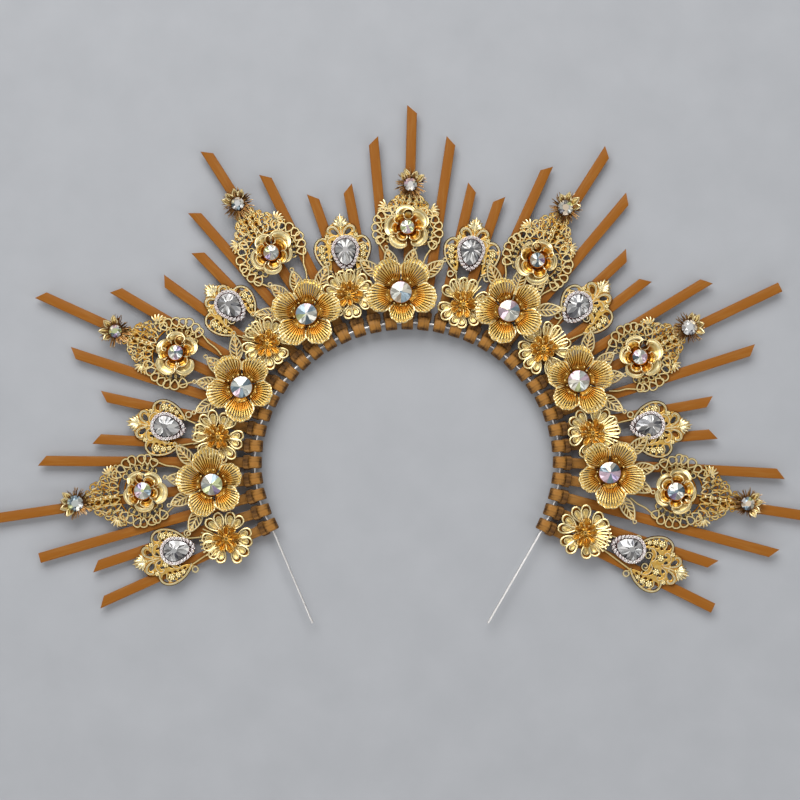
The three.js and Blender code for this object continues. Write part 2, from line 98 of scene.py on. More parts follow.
# Ornaments on the long ties. A place is (out from the wire, to the right): tie, place and turn of the flower,
# places of the rose and the tip flower, radii of their stones, and bearing of the rose's open side
LONG_STATIONS = [
    (4, (20.5, 0), 16, (53, 1.5), (85.5, 0), 4, 3.8, 90),
    (9, (15, -0.5), 31, (50, 1.5), (80.5, -1), 3.5, 3, 90),
    (14, (17, -1.5), 36, (50.5, 0.5), (79, 0), 3.6, 3.1, 30),
    (19, (14, -3), 36, (45, 0), (65.5, 1.5), 3.3, 3.1, 0),
    (24, (18.5, 1), 20, (46, -1), (74.5, -3.5), 3.5, 3.6, -30),
    (29, (18.5, -1), 5, (49.5, 0.5), (77, -2.5), 3.5, 3.7, -40),
    (34, (23, -6), 12, (55, -1.5), (89.5, -0.5), 4.1, 3.2, 30),
]

# Ornaments midway between two short ties: tie, places of the bloom and the pear, and how far the plate lies
# beyond the pear and to its right
SHORT_STATIONS = [
    (1.5, (21, -1.5), (46, 3), (3.5, -1.9)),
    (6.5, (18, -2), (44, -0.5), (1.3, -1.1)),
    (11.5, (17.5, -0.5), (44, 1.5), (-2.7, -1.5)),
    (16.5, (17, -3.5), (38.5, 1), (0.1, -1.3)),
    (21.5, (12.5, 4), (38.5, 0), (-1.2, 0.5)),
    (26.5, (14.5, 1.5), (41, -3.5), (1.2, 4)),
    (31.5, (16.5, 0), (44.5, 0), (2.4, 2.4)),
    (36.5, (18.5, -0.5), (42, -2), (12.5, 2.8)),
]

# Levels: filigree over the tails, leaves over the filigree, petals over the heads
PLATE_BOTTOM = 4.7
PLATE_TOP = 5.7
PLATE_EDGE = 0.22
FILIGREE = 5.25
CREST_LEVEL = FILIGREE + 0.1
LEAF_LEVEL = 6.45
PETAL_BOTTOM = 7.8

# Levels of painted light that a mesh carries at its points, from the deepest painted shade to a painted
# highlight on a rim, and how much darker the sides and underside of a wire are painted than its top
DARK = 0.0
DEEP = 0.2
AMBER = 0.4
PLAIN = 0.6
BRIGHT = 0.85
RIM = 1.0
# Painted shade down the sides and underside of a wire: by default, then for lace, drop, hoop and spike wires
PAINTED_SIDE_SHADE = 1.0
LACE_SIDE_SHADE = 2.3
DROP_SIDE_SHADE = 1.3
WIRE_SIDE_SHADE = 0.4
SPIKE_SIDE_SHADE = 0.5
# Painted shade on the ties: heads dark, each loop dark at its inner end and lit at its crest, and the tail
# blending from the loop's colour near the hoop to its own further out
HEAD_SHADE = 0.1
LOOP_SHADES = (0.04, 0.3)
LOOP_SHADE_SPAN = (0.55, 1)
TAIL_SHADES = (0.3, PLAIN)
TAIL_SHADE_SPAN = (8, 22)
# Shade of the drop plate's top face; its hole walls and underside are painted dark as shade
PLATE_SHADE = 0.48

# Radii of the gold wires, and thickness of the petals
STOUT = 0.54
FIRM = 0.5
MEDIUM = 0.46
BOLD_RIM = 0.45
LIGHT = 0.42
SLIM = 0.4
FINE = 0.36
THREAD = 0.34
HAIR = 0.3
NEEDLE = 0.28
SHEET = 0.35
THIN_SHEET = 0.3
LEAF_SHEET = 0.25

# Large flower, and its leaves by bearing in degrees, start and tip
FLOWER_PETALS = 5
FLOWER_START = 4.2
FLOWER_REACH = 16.6
FLOWER_RISE = 3.6
FLOWER_HALF_ANGLE = math.radians(36.5)
FLOWER_RIBS = 13
RIB_STEPS = 6
PETAL_ROWS = 15
INWARD_SLOTS = 8
OUTWARD_SLOTS = 6
SLOT_END = 12
FLOWER_STONE = 5.1
FLOWER_BEADS = 14
FLOWER_BEAD = 0.5
FLOWER_BEAD_RING = (5.9, 7.2)
FLOWER_STEM = [
    (4.4, PLATE_BOTTOM), (4.4, PETAL_BOTTOM + 0.5), (5.6, PETAL_BOTTOM + 1), (5.5, PETAL_BOTTOM + 1.4),
    (3, PETAL_BOTTOM + 1.3),
]
LEAVES = [(-54, 13, 24.5), (-17, 11, 21.5), (18, 11, 21.5), (56, 13, 25)]
LEAF_HALF = 2.9
LEAF_RISE = 0.7
LEAF_ROOT = 3.5
LEAF_RIB = (0.6, 0.4)
LEAF_RING = 0.85
VEINS = np.linspace(0.06, 0.66, 5)
VEIN_CLIMB = 0.23

# Fan; heights of the crest are factors on the tip's distance: its tiers by height, half width and loops
# on each side, and its edge by half width and height
FAN_HALF = 17.0
FAN_LOW = 14.5
FAN_TOP = 0.5
FAN_LOOPS = 7
FAN_LOOP_ARC = (44, 122)
FAN_LOOP_WIDTH = (3.4, 4.1)
FAN_EYE = (1.2, 1.6)
FAN_RING_ARC = math.radians(128)
FAN_INSET = 4.2
FAN_EYE_BAND = 3.2
FAN_EYELET = 0.9
EYELET_WIRE = 0.32
FAN_FINS = 4
FIN_STOPS = [0.2, 0.5, 0.8, 1]
FIN_RADII = [0.35, 0.6, 0.55, 0.2]
FIN_LENGTH = 4.2
FAN_TIERS = [(0.35, 13, 4), (0.48, 9, 3), (0.6, 6.2, 2), (0.71, 3.6, 1)]
FAN_CREST = [
    (14.4, 0.34), (12.4, 0.4), (9.6, 0.46), (9, 0.53), (8.2, 0.61), (5.6, 0.66), (5, 0.73), (3, 0.78),
    (2.5, 0.86), (1.8, 0.92),
]
FAN_BASE = [(14, -6.4), (12.2, -9), (9.9, -12.6), (8.6, -16.6), (6.4, -20.4)]
FAN_NECKS = [(3.4, 1.1), (1.6, 0.4)]
ROSE_PETALS = 5
ROSE_REACH = (9.2, 11.6)
ROSE_INNER_PETALS = 6
ROSE_INNER_REACH = (6.8, 8.6)
ROSE_GAP = math.radians(34)
# The open cup beside the rose's stone by radius, height and shade, painted dark inside as shade
ROSE_HOLLOW = [(1.5, 0.6, DARK), (1.75, 2, DARK), (2, 3.4, DEEP), (2.3, 4, BRIGHT)]
ROSE_HOLLOW_OUT = 6
TIP_SPIKES = 84
SPIKE_REACH = (5.2, 8.2)
SPIKE_LIFT = (0.8, 2.6)
SPIKE_STOPS = [0.25, 0.5, 0.75, 0.92, 1]
SPIKE_RADII = [0.3, 0.28, 0.24, 0.18, 0.08]
SPIKE_SHADES = [0.2, 0.35, 0.5, 0.7, 1]
TIP_PETALS = (-52, -18, 22, 58)
TIP_PETAL_START = 3.2
TIP_PRONGS = 6
PRONG_SHADE = 0.7
TIP_BASE = [
    (2.2, PLATE_BOTTOM), (3, PLATE_BOTTOM + 0.6), (3, PLATE_BOTTOM + 1.6), (1.6, PLATE_BOTTOM + 1.8),
]

# Drop: right half of the plate's edge up to the crest's tip, its foot, its holes, and the wires on it
DROP_EDGE = [
    (6, -10.8), (8.6, -9), (11.2, -6.2), (13, -2.6), (13.6, 0.6), (13, 3.4), (11.4, 5.3), (9.3, 6),
    (7.7, 5.6), (7.4, 7.2), (7.3, 9.2), (6.2, 11.1), (4.8, 12.1), (3.2, 12.6), (2, 14.4), (0, 16.6),
]
DROP_LOBE = 9
DROP_INSET = 0.955
DROP_INSIDE = [(4, -2.4), (5.9, -4), (5.6, -7.4)]
DROP_CRESCENT = [
    (7.8, 3.1), (8.5, 4.4), (10, 4.7), (11.4, 3.9), (12.3, 2.2), (11.4, 2.3), (10.2, 3), (9, 2.9),
    (8.4, 2.3),
]
DROP_HOLLOW = [(1.8, 7.2), (2.5, 8.9), (3.8, 9.8), (4.9, 9.4), (4.4, 8), (3.2, 7.2)]
DROP_HORN = [(0.7, 6.6), (1.6, 9), (3.2, 10.8), (5.2, 10.9), (6.3, 9.6), (6, 8.3), (5, 8.2)]
DROP_STRANDS = [
    ([(7.6, 2), (9, 2.5), (10.4, 2.4), (11.6, 1.4), (12, 0.6)], FINE),
    ([(0.5, 3), (1.6, 5.6), (3.6, 6.6), (5.8, 5.8), (6.8, 4.2), (6, 3), (5, 3.6)], LIGHT),
    ([(0.6, -1.6), (2.4, -0.6), (4.6, -1), (6.2, -2.4), (6.4, -4.4), (5.2, -4.8)], SLIM),
]
DROP_CURL = {"centre": (2.6, -4), "start": math.radians(30), "turns": 1.2, "outer": 2, "inner": 0.6}
DROP_EDGE_WIRE = 0.62
# Width and sink of the dark wires and discs painted as shadow under the drop's wires and rosettes
DROP_SHADOW = 0.2
SHADOW_SINK = 0.25

# Holes of the plate by place, bearing in degrees, length and width; rosettes by place and radius; fingers of
# the crest by bearing and length
DROP_HOLES = [
    ((12, -0.6), 0, 2.2, 1.2), ((11.3, -3.2), 20, 2.2, 1.3), ((10, -5.6), 35, 2.2, 1.3),
    ((8.3, -7.7), 40, 2, 1.1), ((7.7, 0.7), 0, 1.6, 1), ((7.8, -1.9), 0, 1.8, 1.1),
    ((7.7, -4.4), 10, 1.8, 1.1), ((7, -6.7), 20, 1.6, 0.9), ((1.9, 4.6), 60, 2.4, 1.4),
    ((4.7, 3.6), -20, 2.2, 1.3), ((2.2, -0.6), 30, 2.2, 1.4), ((5, -0.6), -30, 2.2, 1.4),
]
DROP_ROSETTES = [
    ((9.9, 0.3), 1.6), ((9.6, -2.9), 1.35), ((8.6, -5.6), 1.1), ((6.9, 6.6), 1.05), ((3.4, 1.7), 1.5),
]
DROP_FINGERS = [(15, 5.6), (34, 4.8), (56, 4.4)]
DROP_PALM = (0.2, 10.6)
FINGER_RADII = [0.35, 0.5, 0.7, 0.8, 0.7, 0.3]
DROP_STEM = [4, 9, 12, 15, 17]
DROP_STEM_RADII = [0.5, 0.5, 0.85, 0.65, 0.15]
DROP_KNEE = (6.4, -10)
DROP_FOOT = (2.2, 3.2)
DROP_EYE = (8.7, -11.3)
DROP_EYE_RADIUS = 1.35
DROP_EYE_STEM = [(6.2, -10.4), (7.6, -10.8)]
PEAR_RADIUS = 6.75
PEAR_POINT = 0.46
PEAR_TIP = 0.08
PEAR_STONE = 0.72
HALO_LINE = 0.885
HALO_STONES = 23
HALO_STONE = 0.82
# The pear's cup by factor, height and shade; its top between the halo stones is painted dark as shade
PEAR_CUP = [(0.9, -0.5, DEEP), (1, 0, AMBER), (1, 0.6, 0.1), (0.74, 0.9, DARK), (0.7, 1.3, 0.5)]

# Bloom; the bowl of a loop runs out along its underside and in along its top: factor, depth and painted
# shade, dark in the groove and under the bowl and light on the ridge
BLOOM_PETALS = 6
BLOOM_INNER_PETALS = 9
BLOOM_RAYS = 9
BLOOM_RAY = 12.6
BLOOM_START = 4.6
BLOOM_REACH = (11.2, 13)
BLOOM_HEART = 1.2
BLOOM_INNER_REACH = (5, 7)
BLOOM_INNER_RISE = (0.6, 2.2)
BLOOM_LOOP = {"width": 4.4, "lean": math.radians(16), "inner": 0.56}
BLOOM_BOWL = [
    (0.1, 1.3, DEEP), (0.92, 1.2, DEEP), (0.98, 0, PLAIN), (0.9, 0.8, 0.12), (0.62, 0.9, 0.12),
    (0.52, 0.4, BRIGHT), (0.36, 0.6, PLAIN), (0.1, 0.7, PLAIN),
]
BLOOM_STEM = [
    (3.2, PLATE_TOP - 0.4), (3.2, PETAL_BOTTOM), (2, PETAL_BOTTOM + 1.2), (0.8, PETAL_BOTTOM + 1.3),
]

# Stones: colours of the facets, which paint their reflections of light and dark along with the aurora coat's
# and the pink halo stones' own colours; then each cut by its mains, its seat, the heights over it of the
# base, girdle, middle ring and table, the factors of the middle ring and the table on the radius, how many
# facets share a colour, and how far its strength varies
AURORA_AND_REFLECTIONS = [
    (0.84, 0.82, 0.72), (0.68, 0.72, 0.68), (0.36, 0.48, 0.56), (0.8, 0.6, 0.7), (0.64, 0.7, 0.36),
    (0.16, 0.22, 0.26), (0.88, 0.84, 0.72), (0.46, 0.36, 0.56), (0.84, 0.68, 0.5), (0.74, 0.75, 0.68),
]
CLEAR_REFLECTIONS = [
    (1.0, 0.98, 0.94), (0.86, 0.85, 0.83), (0.54, 0.54, 0.55), (0.2, 0.2, 0.22), (0.94, 0.9, 0.88),
    (0.98, 0.94, 0.88), (0.68, 0.66, 0.64), (1.0, 1.0, 0.98),
]
BLUSH = [(1.0, 0.96, 0.94), (0.98, 0.87, 0.85), (0.9, 0.78, 0.75), (1.0, 0.97, 0.92)]
Cut = namedtuple("Cut", "mains seat heights factors patch strength", defaults=(6, (0.45, 1.1)))
FLOWER_CUT = Cut(9, PETAL_BOTTOM + 1.3, (-0.3, 0.35, 1.3, 2.2), (0.6, 0.12))
ROSE_CUT = Cut(8, PLATE_TOP + 3.6, (0, 0.4, 1.15, 1.75), (0.66, 0.2))
TIP_CUT = Cut(8, PLATE_BOTTOM + 1.7, (0, 0.6, 1.5, 2.1), (0.7, 0.45))
PEAR_CUT = Cut(12, PLATE_TOP + 1.1, (-0.3, 0.3, 1.3, 2), (0.62, 0.24), 1, (0.2, 0.75))
HALO_CUT = Cut(5, PLATE_TOP, (0.5, 1.1, 1.5, 1.65), (0.75, 0.55), strength=(0.8, 1.1))

# Noises of the materials: waves a metre, detail, and stretch along each axis
TARNISH = (700,)
GLOSS = (1100,)
CAST_GRAIN = (1400, 2.0)
BRUSH_MARKS = (60, 4.0, (14, 1, 14))
PAINT_GLOSS = (900,)
PAINT_GRAIN = (420, 4.0, (5, 1, 5))
GLASS_GLOSS = (1200,)
FLOOR_MOTTLE = (40, 6.0)
FLOOR_GLOSS = (90,)

# Seeds of the small differences between one ornament and the next
TIE_SEED = 100
FLOWER_SEED = 200
FAN_SEED = 300
DROP_SEED = 400

# Camera; and the lights in metres and watts: place, target, size and power
VIEW_WIDTH = 380
VIEW_CENTRE = (-0.8, -17.5)
VIEW_DISTANCE = 1050
VIEW_ELEVATION = math.radians(87)
SENSOR = 36
FLOOR_HALF = 5.0
LIGHTS = {
    "ceiling": ((0, 0.2, 1.7), (0, 0.2, 0), (3.6, 3.6), 15),
    "key": ((-0.25, 1.0, 1.1), (0, 0, 0), (1.5, 1.1), 20),
    "left_strip": ((-0.9, -0.7, 0.75), (0, 0, 0), (0.4, 1.2), 3),
    "front": ((0, -1.2, 0.5), (0, 0, 0), (1.4, 0.35), 3),
    "right_strip": ((0.9, -0.5, 0.75), (0, 0, 0), (0.4, 1.2), 3),
}
SKY = {"Color": (0.5, 0.52, 0.55, 1), "Strength": 0.12}


# Curves and small sums
def polar(bearing, radius):
    """The flat point, or points, at a bearing and a distance from the origin."""
    return np.stack([radius * np.sin(bearing), radius * np.cos(bearing)], -1)


def turned(base, bearing, along, across):
    """Flat points from their distances from a base along a bearing and to the right of it."""
    return np.asarray(base) + polar(bearing, along) + polar(bearing + math.pi / 2, across)


def turns(steps):
    """The bearings of equal steps round a full turn."""
    return np.linspace(0, FULL_TURN, steps, endpoint=False)


def lifted(path, height):
    """A flat path as points in space; the height is one number or one for each point."""
    path = np.asarray(path, float)
    return np.column_stack([path, np.broadcast_to(height, len(path))])


def spline(points, steps=6, closed=False):
    """A smooth curve through the points, with this many steps between each two."""
    points = np.asarray(points, float)
    if closed:
        padded = np.vstack([points[-1:], points, points[:2]])
    else:
        padded = np.vstack([2 * points[0] - points[1], points, 2 * points[-1] - points[-2]])
    p0, p1, p2, p3 = padded[:-3], padded[1:-2], padded[2:-1], padded[3:]
    t = np.linspace(0, 1, steps, endpoint=False)[:, None, None]
    curve = 0.5 * (
        2 * p1 + (p2 - p0) * t + (2 * p0 - 5 * p1 + 4 * p2 - p3) * t**2 + (3 * p1 - p0 - 3 * p2 + p3) * t**3
    )
    curve = curve.transpose(1, 0, 2).reshape(-1, points.shape[1])
    return curve if closed else np.vstack([curve, points[-1:]])


def circle(centre, radius, steps=16):
    return np.asarray(centre) + polar(turns(steps), radius)


def oval(centre, bearing, length, width, steps=12):
    t = turns(steps)
    return turned(centre, bearing, length / 2 * np.cos(t), width / 2 * np.sin(t))


def teardrop(base, bearing, length, width, steps=16):
    """A closed flat loop that starts at its pointed base and is widest towards its round end."""
    t = turns(steps)
    widest = 0.77
    across = width / 2 * np.sin(t) * np.sin(t / 2) / widest
    return turned(base, bearing, length * (1 - np.cos(t)) / 2, across)


def mirrored(path):
    return np.asarray(path, float) * [-1, 1]


def ease(value, low, high, start=0, end=1):
    """start where the value is below low, end where it is above high, with an easy change between."""
    t = np.clip((np.asarray(value, float) - low) / (high - low), 0, 1)
    return start + (end - start) * t * t * (3 - 2 * t)


def petal_grid(columns, rows):
    """How far each point of a petal's grid is across, from -1 to 1, and along, from 0 to 1."""
    return np.meshgrid(np.linspace(-1, 1, columns), np.linspace(0, 1, rows))


def inwardness(bearing):
    """How much a petal of the large flower points at the hoop, from 0 to 1."""
    return (0.5 - 0.5 * math.cos(bearing)) ** 3


# Mesh building
class Shell:
    """Gathers the faces of one mesh, with painted shade at each point or, on stones, a facet colour painting
    its reflection.
    """

    def __init__(self):
        self.points = []
        self.shades = []
        self.faces = []
        self.tints_and_reflections = []
        self.count = 0

    def push(self, points, faces, shade, tints_and_reflections=()):
        points = np.asarray(points, float).reshape(-1, 3)
        shades = np.clip(np.asarray(shade, float).ravel(), 0, 1)
        self.points.append(points)
        self.shades.append(np.broadcast_to(shades, len(points)))
        self.faces += [[corner + self.count for corner in face] for face in faces]
        self.tints_and_reflections += tints_and_reflections
        self.count += len(points)

    def grid(self, rows, shade=PLAIN, around=False, loop=False, capped=False):
        """Quads between rows of points: around joins a row's ends, loop joins the last row to the first."""
        rows = np.asarray(rows, float)
        count, width = rows.shape[:2]
        index = np.arange(count * width).reshape(count, width)
        ends = [index[0].tolist()[::-1], index[-1].tolist()] if capped else []
        if around:
            index = np.hstack([index, index[:, :1]])
        if loop:
            index = np.vstack([index, index[:1]])
        corners = [index[:-1, :-1], index[:-1, 1:], index[1:, 1:], index[1:, :-1]]
        quads = np.stack(corners, -1).reshape(-1, 4).tolist()
        shade = np.asarray(shade, float)
        self.push(rows, quads + ends, np.repeat(shade, width) if shade.ndim == 1 else shade)

    def tube(self, path, radius, sides=6, closed=False, flat=1.0, shade=PLAIN, painted_side_shade=PAINTED_SIDE_SHADE):
        """A round or flattened wire, painted darker down its sides as shade; radius and shade may vary along
        the path.
        """
        path = np.asarray(path, float)
        ahead = np.roll(path, -1, 0) - np.roll(path, 1, 0) if closed else np.gradient(path, axis=0)
        ahead /= np.linalg.norm(ahead, axis=1, keepdims=True) + TINY
        side = np.cross(ahead, UP)
        length = np.linalg.norm(side, axis=1, keepdims=True)
        upright = 1e-3
        side = np.where(length > upright, side / np.maximum(length, upright), [1.0, 0.0, 0.0])
        above = np.cross(side, ahead)
        angles = turns(sides)
        ring = np.cos(angles)[:, None] * side[:, None] + flat * np.sin(angles)[:, None] * above[:, None]
        radii = np.broadcast_to(radius, len(path))[:, None, None]
        # Painted shade: each ring is darker down the wire's sides and underside than on its top
        shades = np.broadcast_to(shade, len(path))[:, None] - painted_side_shade * (1 - np.sin(angles)) / 2
        self.grid(path[:, None] + radii * ring, shades, around=True, loop=closed, capped=not closed)

    def rim(self, points, first, radius, shade=RIM):
        """A wire round the edge of a petal's grid, from this row out to its end and back."""
        path = np.vstack([points[first:, 0], points[-1, 1:-1], points[first:, -1][::-1]])
        self.tube(path, radius, shade=shade)

    def revolve(self, profile, centre=(0, 0), sides=24, shade=PLAIN):
        """A turned body from rows of (radius, height), closed flat at both ends."""
        turn = turns(sides)
        profile = np.asarray(profile, float)
        rows = np.empty((len(profile), sides, 3))
        rows[..., 0] = centre[0] + profile[:, :1] * np.cos(turn)
        rows[..., 1] = centre[1] + profile[:, :1] * np.sin(turn)
        rows[..., 2] = profile[:, 1:]
        self.grid(rows, shade, around=True, capped=True)

    def bead(self, centre, radius, sides=8, rings=4, flat=1.0, shade=BRIGHT):
        tilt = math.pi * np.linspace(-0.46, 0.46, rings + 1)
        profile = np.column_stack([radius * np.cos(tilt), centre[2] + flat * radius * np.sin(tilt)])
        self.revolve(profile, centre, sides, shade)

    def sheet(self, top, thickness, shade=PLAIN, open_cells=None):
        """A thin wall under a grid of points, with the open cells cut through."""
        rows, width = top.shape[:2]
        normal = np.cross(np.gradient(top, axis=1), np.gradient(top, axis=0))
        normal *= np.where(normal[..., 2:] < 0, -1, 1)
        normal /= np.linalg.norm(normal, axis=2, keepdims=True) + TINY
        kept = np.ones((rows - 1, width - 1), bool) if open_cells is None else ~open_cells
        index = np.arange(rows * width).reshape(rows, width)
        shift = rows * width
        a, b, c, d = index[:-1, :-1], index[:-1, 1:], index[1:, 1:], index[1:, :-1]
        faces = np.stack([a, b, c, d], -1)[kept].tolist()
        faces += (np.stack([d, c, b, a], -1)[kept] + shift).tolist()
        padded = np.pad(kept, 1)
        walls = (
            (padded[:-2, 1:-1], a, b),
            (padded[2:, 1:-1], c, d),
            (padded[1:-1, :-2], d, a),
            (padded[1:-1, 2:], b, c),
        )
        for beside, start, end in walls:
            edge = kept & ~beside
            s, e = start[edge], end[edge]
            faces += np.column_stack([s, s + shift, e + shift, e]).tolist()
        shade = np.broadcast_to(shade, (rows, width)).ravel()
        self.push(np.concatenate([top, top - thickness * normal]), faces, np.tile(shade, 2))

    def move(self, offset):
        self.points = [points + offset for points in self.points]

    def build(self, name, slot, point, bearing):
        """The finished object in the slot's look, placed on the crown's frame and riding with it."""
        mesh = bpy.data.meshes.new(name)
        mesh.from_pydata((np.concatenate(self.points) * MM).tolist(), [], self.faces)
        if self.tints_and_reflections:
            tint_and_reflection = mesh.attributes.new("tint_and_reflection", "FLOAT_COLOR", "FACE")
            tint_and_reflection.data.foreach_set("color", np.ravel(self.tints_and_reflections))
        else:
            shade = mesh.attributes.new("shade", "FLOAT", "POINT")
            shade.data.foreach_set("value", np.concatenate(self.shades))
        clean = bmesh.new()
        clean.from_mesh(mesh)
        loose = [vertex for vertex in clean.verts if not vertex.link_faces]
        bmesh.ops.delete(clean, geom=loose, context="VERTS")
        bmesh.ops.recalc_face_normals(clean, faces=clean.faces)
        clean.to_mesh(mesh)
        clean.free()
        if not self.tints_and_reflections:
            mesh.shade_smooth()
            mesh.set_sharp_from_angle(angle=SHARP_EDGE)
        mesh.materials.append(LOOKS[slot])
        piece = bpy.data.objects.new(name, mesh)
        piece.location = (point[0] * MM, point[1] * MM, 0)
        piece.rotation_euler.z = -bearing
        bpy.context.scene.collection.objects.link(piece)
        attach(piece, "root")
        return piece


def pierced_plate(outline, holes, thickness, edge):
    """Points and faces of a flat plate with rounded edges and holes, about the level 0."""
    curve = bpy.data.curves.new("plate", "CURVE")
    curve.dimensions = "2D"
    curve.fill_mode = "BOTH"
    curve.extrude = thickness / 2 - edge
    curve.bevel_depth = edge
    curve.bevel_resolution = 1
    curve.offset = -edge
    for path in [outline, *holes]:
        strand = curve.splines.new("POLY")
        strand.points.add(len(path) - 1)
        flat = np.column_stack([path, np.zeros(len(path)), np.ones(len(path))])
        strand.points.foreach_set("co", flat.ravel())
        strand.use_cyclic_u = True
    holder = bpy.data.objects.new("plate", curve)
    bpy.context.scene.collection.objects.link(holder)
    mesh = bpy.data.meshes.new_from_object(holder.evaluated_get(bpy.context.evaluated_depsgraph_get()))
    points = np.array([vertex.co for vertex in mesh.vertices])
    faces = [list(face.vertices) for face in mesh.polygons]
    bpy.data.meshes.remove(mesh)
    bpy.data.objects.remove(holder)
    bpy.data.curves.remove(curve)
    return points, faces


# Materials
def linear(colour):
    """An sRGB colour in 0 to 255 as linear light with full alpha."""
    values = [channel / 255 for channel in colour]
    return (*[v / 12.92 if v <= 0.04045 else ((v + 0.055) / 1.055) ** 2.4 for v in values], 1.0)


def feed(tree, node, inputs):
    """Sets the named inputs of a node, or links those for which another node's output is given."""
    for name, value in inputs.items():
        if isinstance(value, bpy.types.NodeSocket):
            tree.links.new(value, node.inputs[name])
        else:
            node.inputs[name].default_value = value


def add_node(tree, kind, inputs):
    node = tree.nodes.new(f"ShaderNode{kind}")
    feed(tree, node, inputs)
    return node.outputs


def node_tree(name):
    look = bpy.data.materials.new(name)
    look.use_nodes = True
    return look, look.node_tree, look.node_tree.nodes["Principled BSDF"]


def add_noise(tree, scale, detail=3.0, stretch=(1, 1, 1)):
    place = add_node(tree, "TexCoord", {})
    mapping = add_node(tree, "Mapping", {"Vector": place["Object"], "Scale": stretch})
    return add_node(tree, "TexNoise", {"Vector": mapping["Vector"], "Scale": scale, "Detail": detail})["Fac"]


def add_ramp(tree, source, stops):
    """A colour ramp from rows of (position, sRGB colour)."""
    ramp = tree.nodes.new("ShaderNodeValToRGB")
    elements = ramp.color_ramp.elements
    while len(elements) < len(stops):
        elements.new(0.5)
    for element, (position, colour) in zip(elements, stops):
        element.position = position
        element.color = linear(colour)
    feed(tree, ramp, {"Fac": source})
    return ramp.outputs["Color"]


def add_range(tree, source, low, high):
    """The usual span of a noise, stretched to run from low to high."""
    span = {"Value": source, "From Min": 0.3, "From Max": 0.7, "To Min": low, "To Max": high}
    return add_node(tree, "MapRange", span)["Result"]


def add_bump(tree, source, strength, depth):
    bump = {"Height": source, "Strength": strength, "Distance": depth * MM}
    return add_node(tree, "Bump", bump)["Normal"]


def add_shade(tree, noise, spread):
    """The mesh's painted shade at each point, with a little of a noise added."""
    attribute = tree.nodes.new("ShaderNodeAttribute")
    attribute.attribute_name = "shade"
    mixed = tree.nodes.new("ShaderNodeMath")
    mixed.operation = "ADD"
    mixed.use_clamp = True
    tree.links.new(attribute.outputs["Fac"], mixed.inputs[0])
    tree.links.new(add_range(tree, noise, -spread, spread), mixed.inputs[1])
    return mixed.outputs["Value"]


def shaded_metal(name, stops, roughness, grain):
    """Cast metal whose colour follows the painted shade and highlight at the mesh's points, with a mottled
    gloss and a fine cast grain.
    """
    look, tree, shader = node_tree(name)
    shade = add_shade(tree, add_noise(tree, *TARNISH), 0.08)
    feed(tree, shader, {
        "Base Color": add_ramp(tree, shade, stops),
        "Roughness": add_range(tree, add_noise(tree, *GLOSS), *roughness),
        "Normal": add_bump(tree, add_noise(tree, *CAST_GRAIN), grain, 0.12),
        "Metallic": 1.0,
    })
    return look


def gold_look():
    # From painted shade in hollows and on wire undersides at 0, through gold, to a painted highlight on rims
    # at 1
    stops = [
        (0.0, (38, 28, 15)),
        (0.2, (172, 104, 30)),
        (0.4, (226, 172, 70)),
        (0.6, (236, 208, 132)),
        (0.85, (246, 226, 166)),
        (1.0, (252, 238, 194)),
    ]
    return shaded_metal("gold", stops, (0.31, 0.47), 0.08)


def bronze_look():
    stops = [(0.0, (78, 50, 24)), (0.5, (148, 106, 60)), (1.0, (226, 196, 146))]
    return shaded_metal("bronze", stops, (0.26, 0.44), 0.15)


def silver_look():
    # Its low stop is the painted shade between the halo's stones
    stops = [(0.0, (66, 48, 46)), (0.6, (204, 184, 182)), (1.0, (248, 238, 236))]
    return shaded_metal("silver", stops, (0.16, 0.3), 0.1)


def wire_look():
    stops = [(0.0, (190, 184, 180)), (0.6, (238, 234, 231)), (1.0, (250, 247, 244))]
    return shaded_metal("wire", stops, (0.32, 0.46), 0.05)


def paint_look():
    """Ochre paint brushed along the ties, with painted shade at their heads and loop ends and a lit crest on
    each loop, with a fine grain.
    """
    look, tree, shader = node_tree("tie_paint")
    shade = add_shade(tree, add_noise(tree, *BRUSH_MARKS), 0.13)
    # Stops: 0 for the painted shade of heads and loop ends, 0.3 for a loop's lit crest, 0.6 and 0.85 for the
    # tail
    stops = [(0.0, (60, 36, 14)), (0.3, (172, 120, 54)), (0.6, (151, 90, 17)), (0.85, (161, 100, 25))]
    feed(tree, shader, {
        "Base Color": add_ramp(tree, shade, stops),
        "Roughness": add_range(tree, add_noise(tree, *PAINT_GLOSS), 0.42, 0.6),
        "Normal": add_bump(tree, add_noise(tree, *PAINT_GRAIN), 0.3, 0.2),
        "Specular IOR Level": 0.22,
    })
    return look


def crystal_look():
    """Foil-backed cut glass: mirror facets, each in a colour that paints its reflection of light or dark,
    under a clear coat.
    """
    look, tree, shader = node_tree("crystal")
    attribute = tree.nodes.new("ShaderNodeAttribute")
    attribute.attribute_name = "tint_and_reflection"
    feed(tree, shader, {
        "Base Color": attribute.outputs["Color"],
        "Roughness": add_range(tree, add_noise(tree, *GLASS_GLOSS), 0.04, 0.12),
        "Metallic": 0.35,
        "Coat Weight": 0.7,
        "Coat Roughness": 0.02,
    })
    return look


def floor_look():
    look, tree, shader = node_tree("floor")
    stops = [(0.3, (172, 174, 178)), (0.7, (177, 179, 183))]
    feed(tree, shader, {
        "Base Color": add_ramp(tree, add_noise(tree, *FLOOR_MOTTLE), stops),
        "Roughness": add_range(tree, add_noise(tree, *FLOOR_GLOSS), 0.7, 0.85),
    })
    return look


LOOKS = {
    "wire": wire_look(),
    "tie_paint": paint_look(),
    "gold": gold_look(),
    "bronze": bronze_look(),
    "silver": silver_look(),
    "crystal": crystal_look(),
}


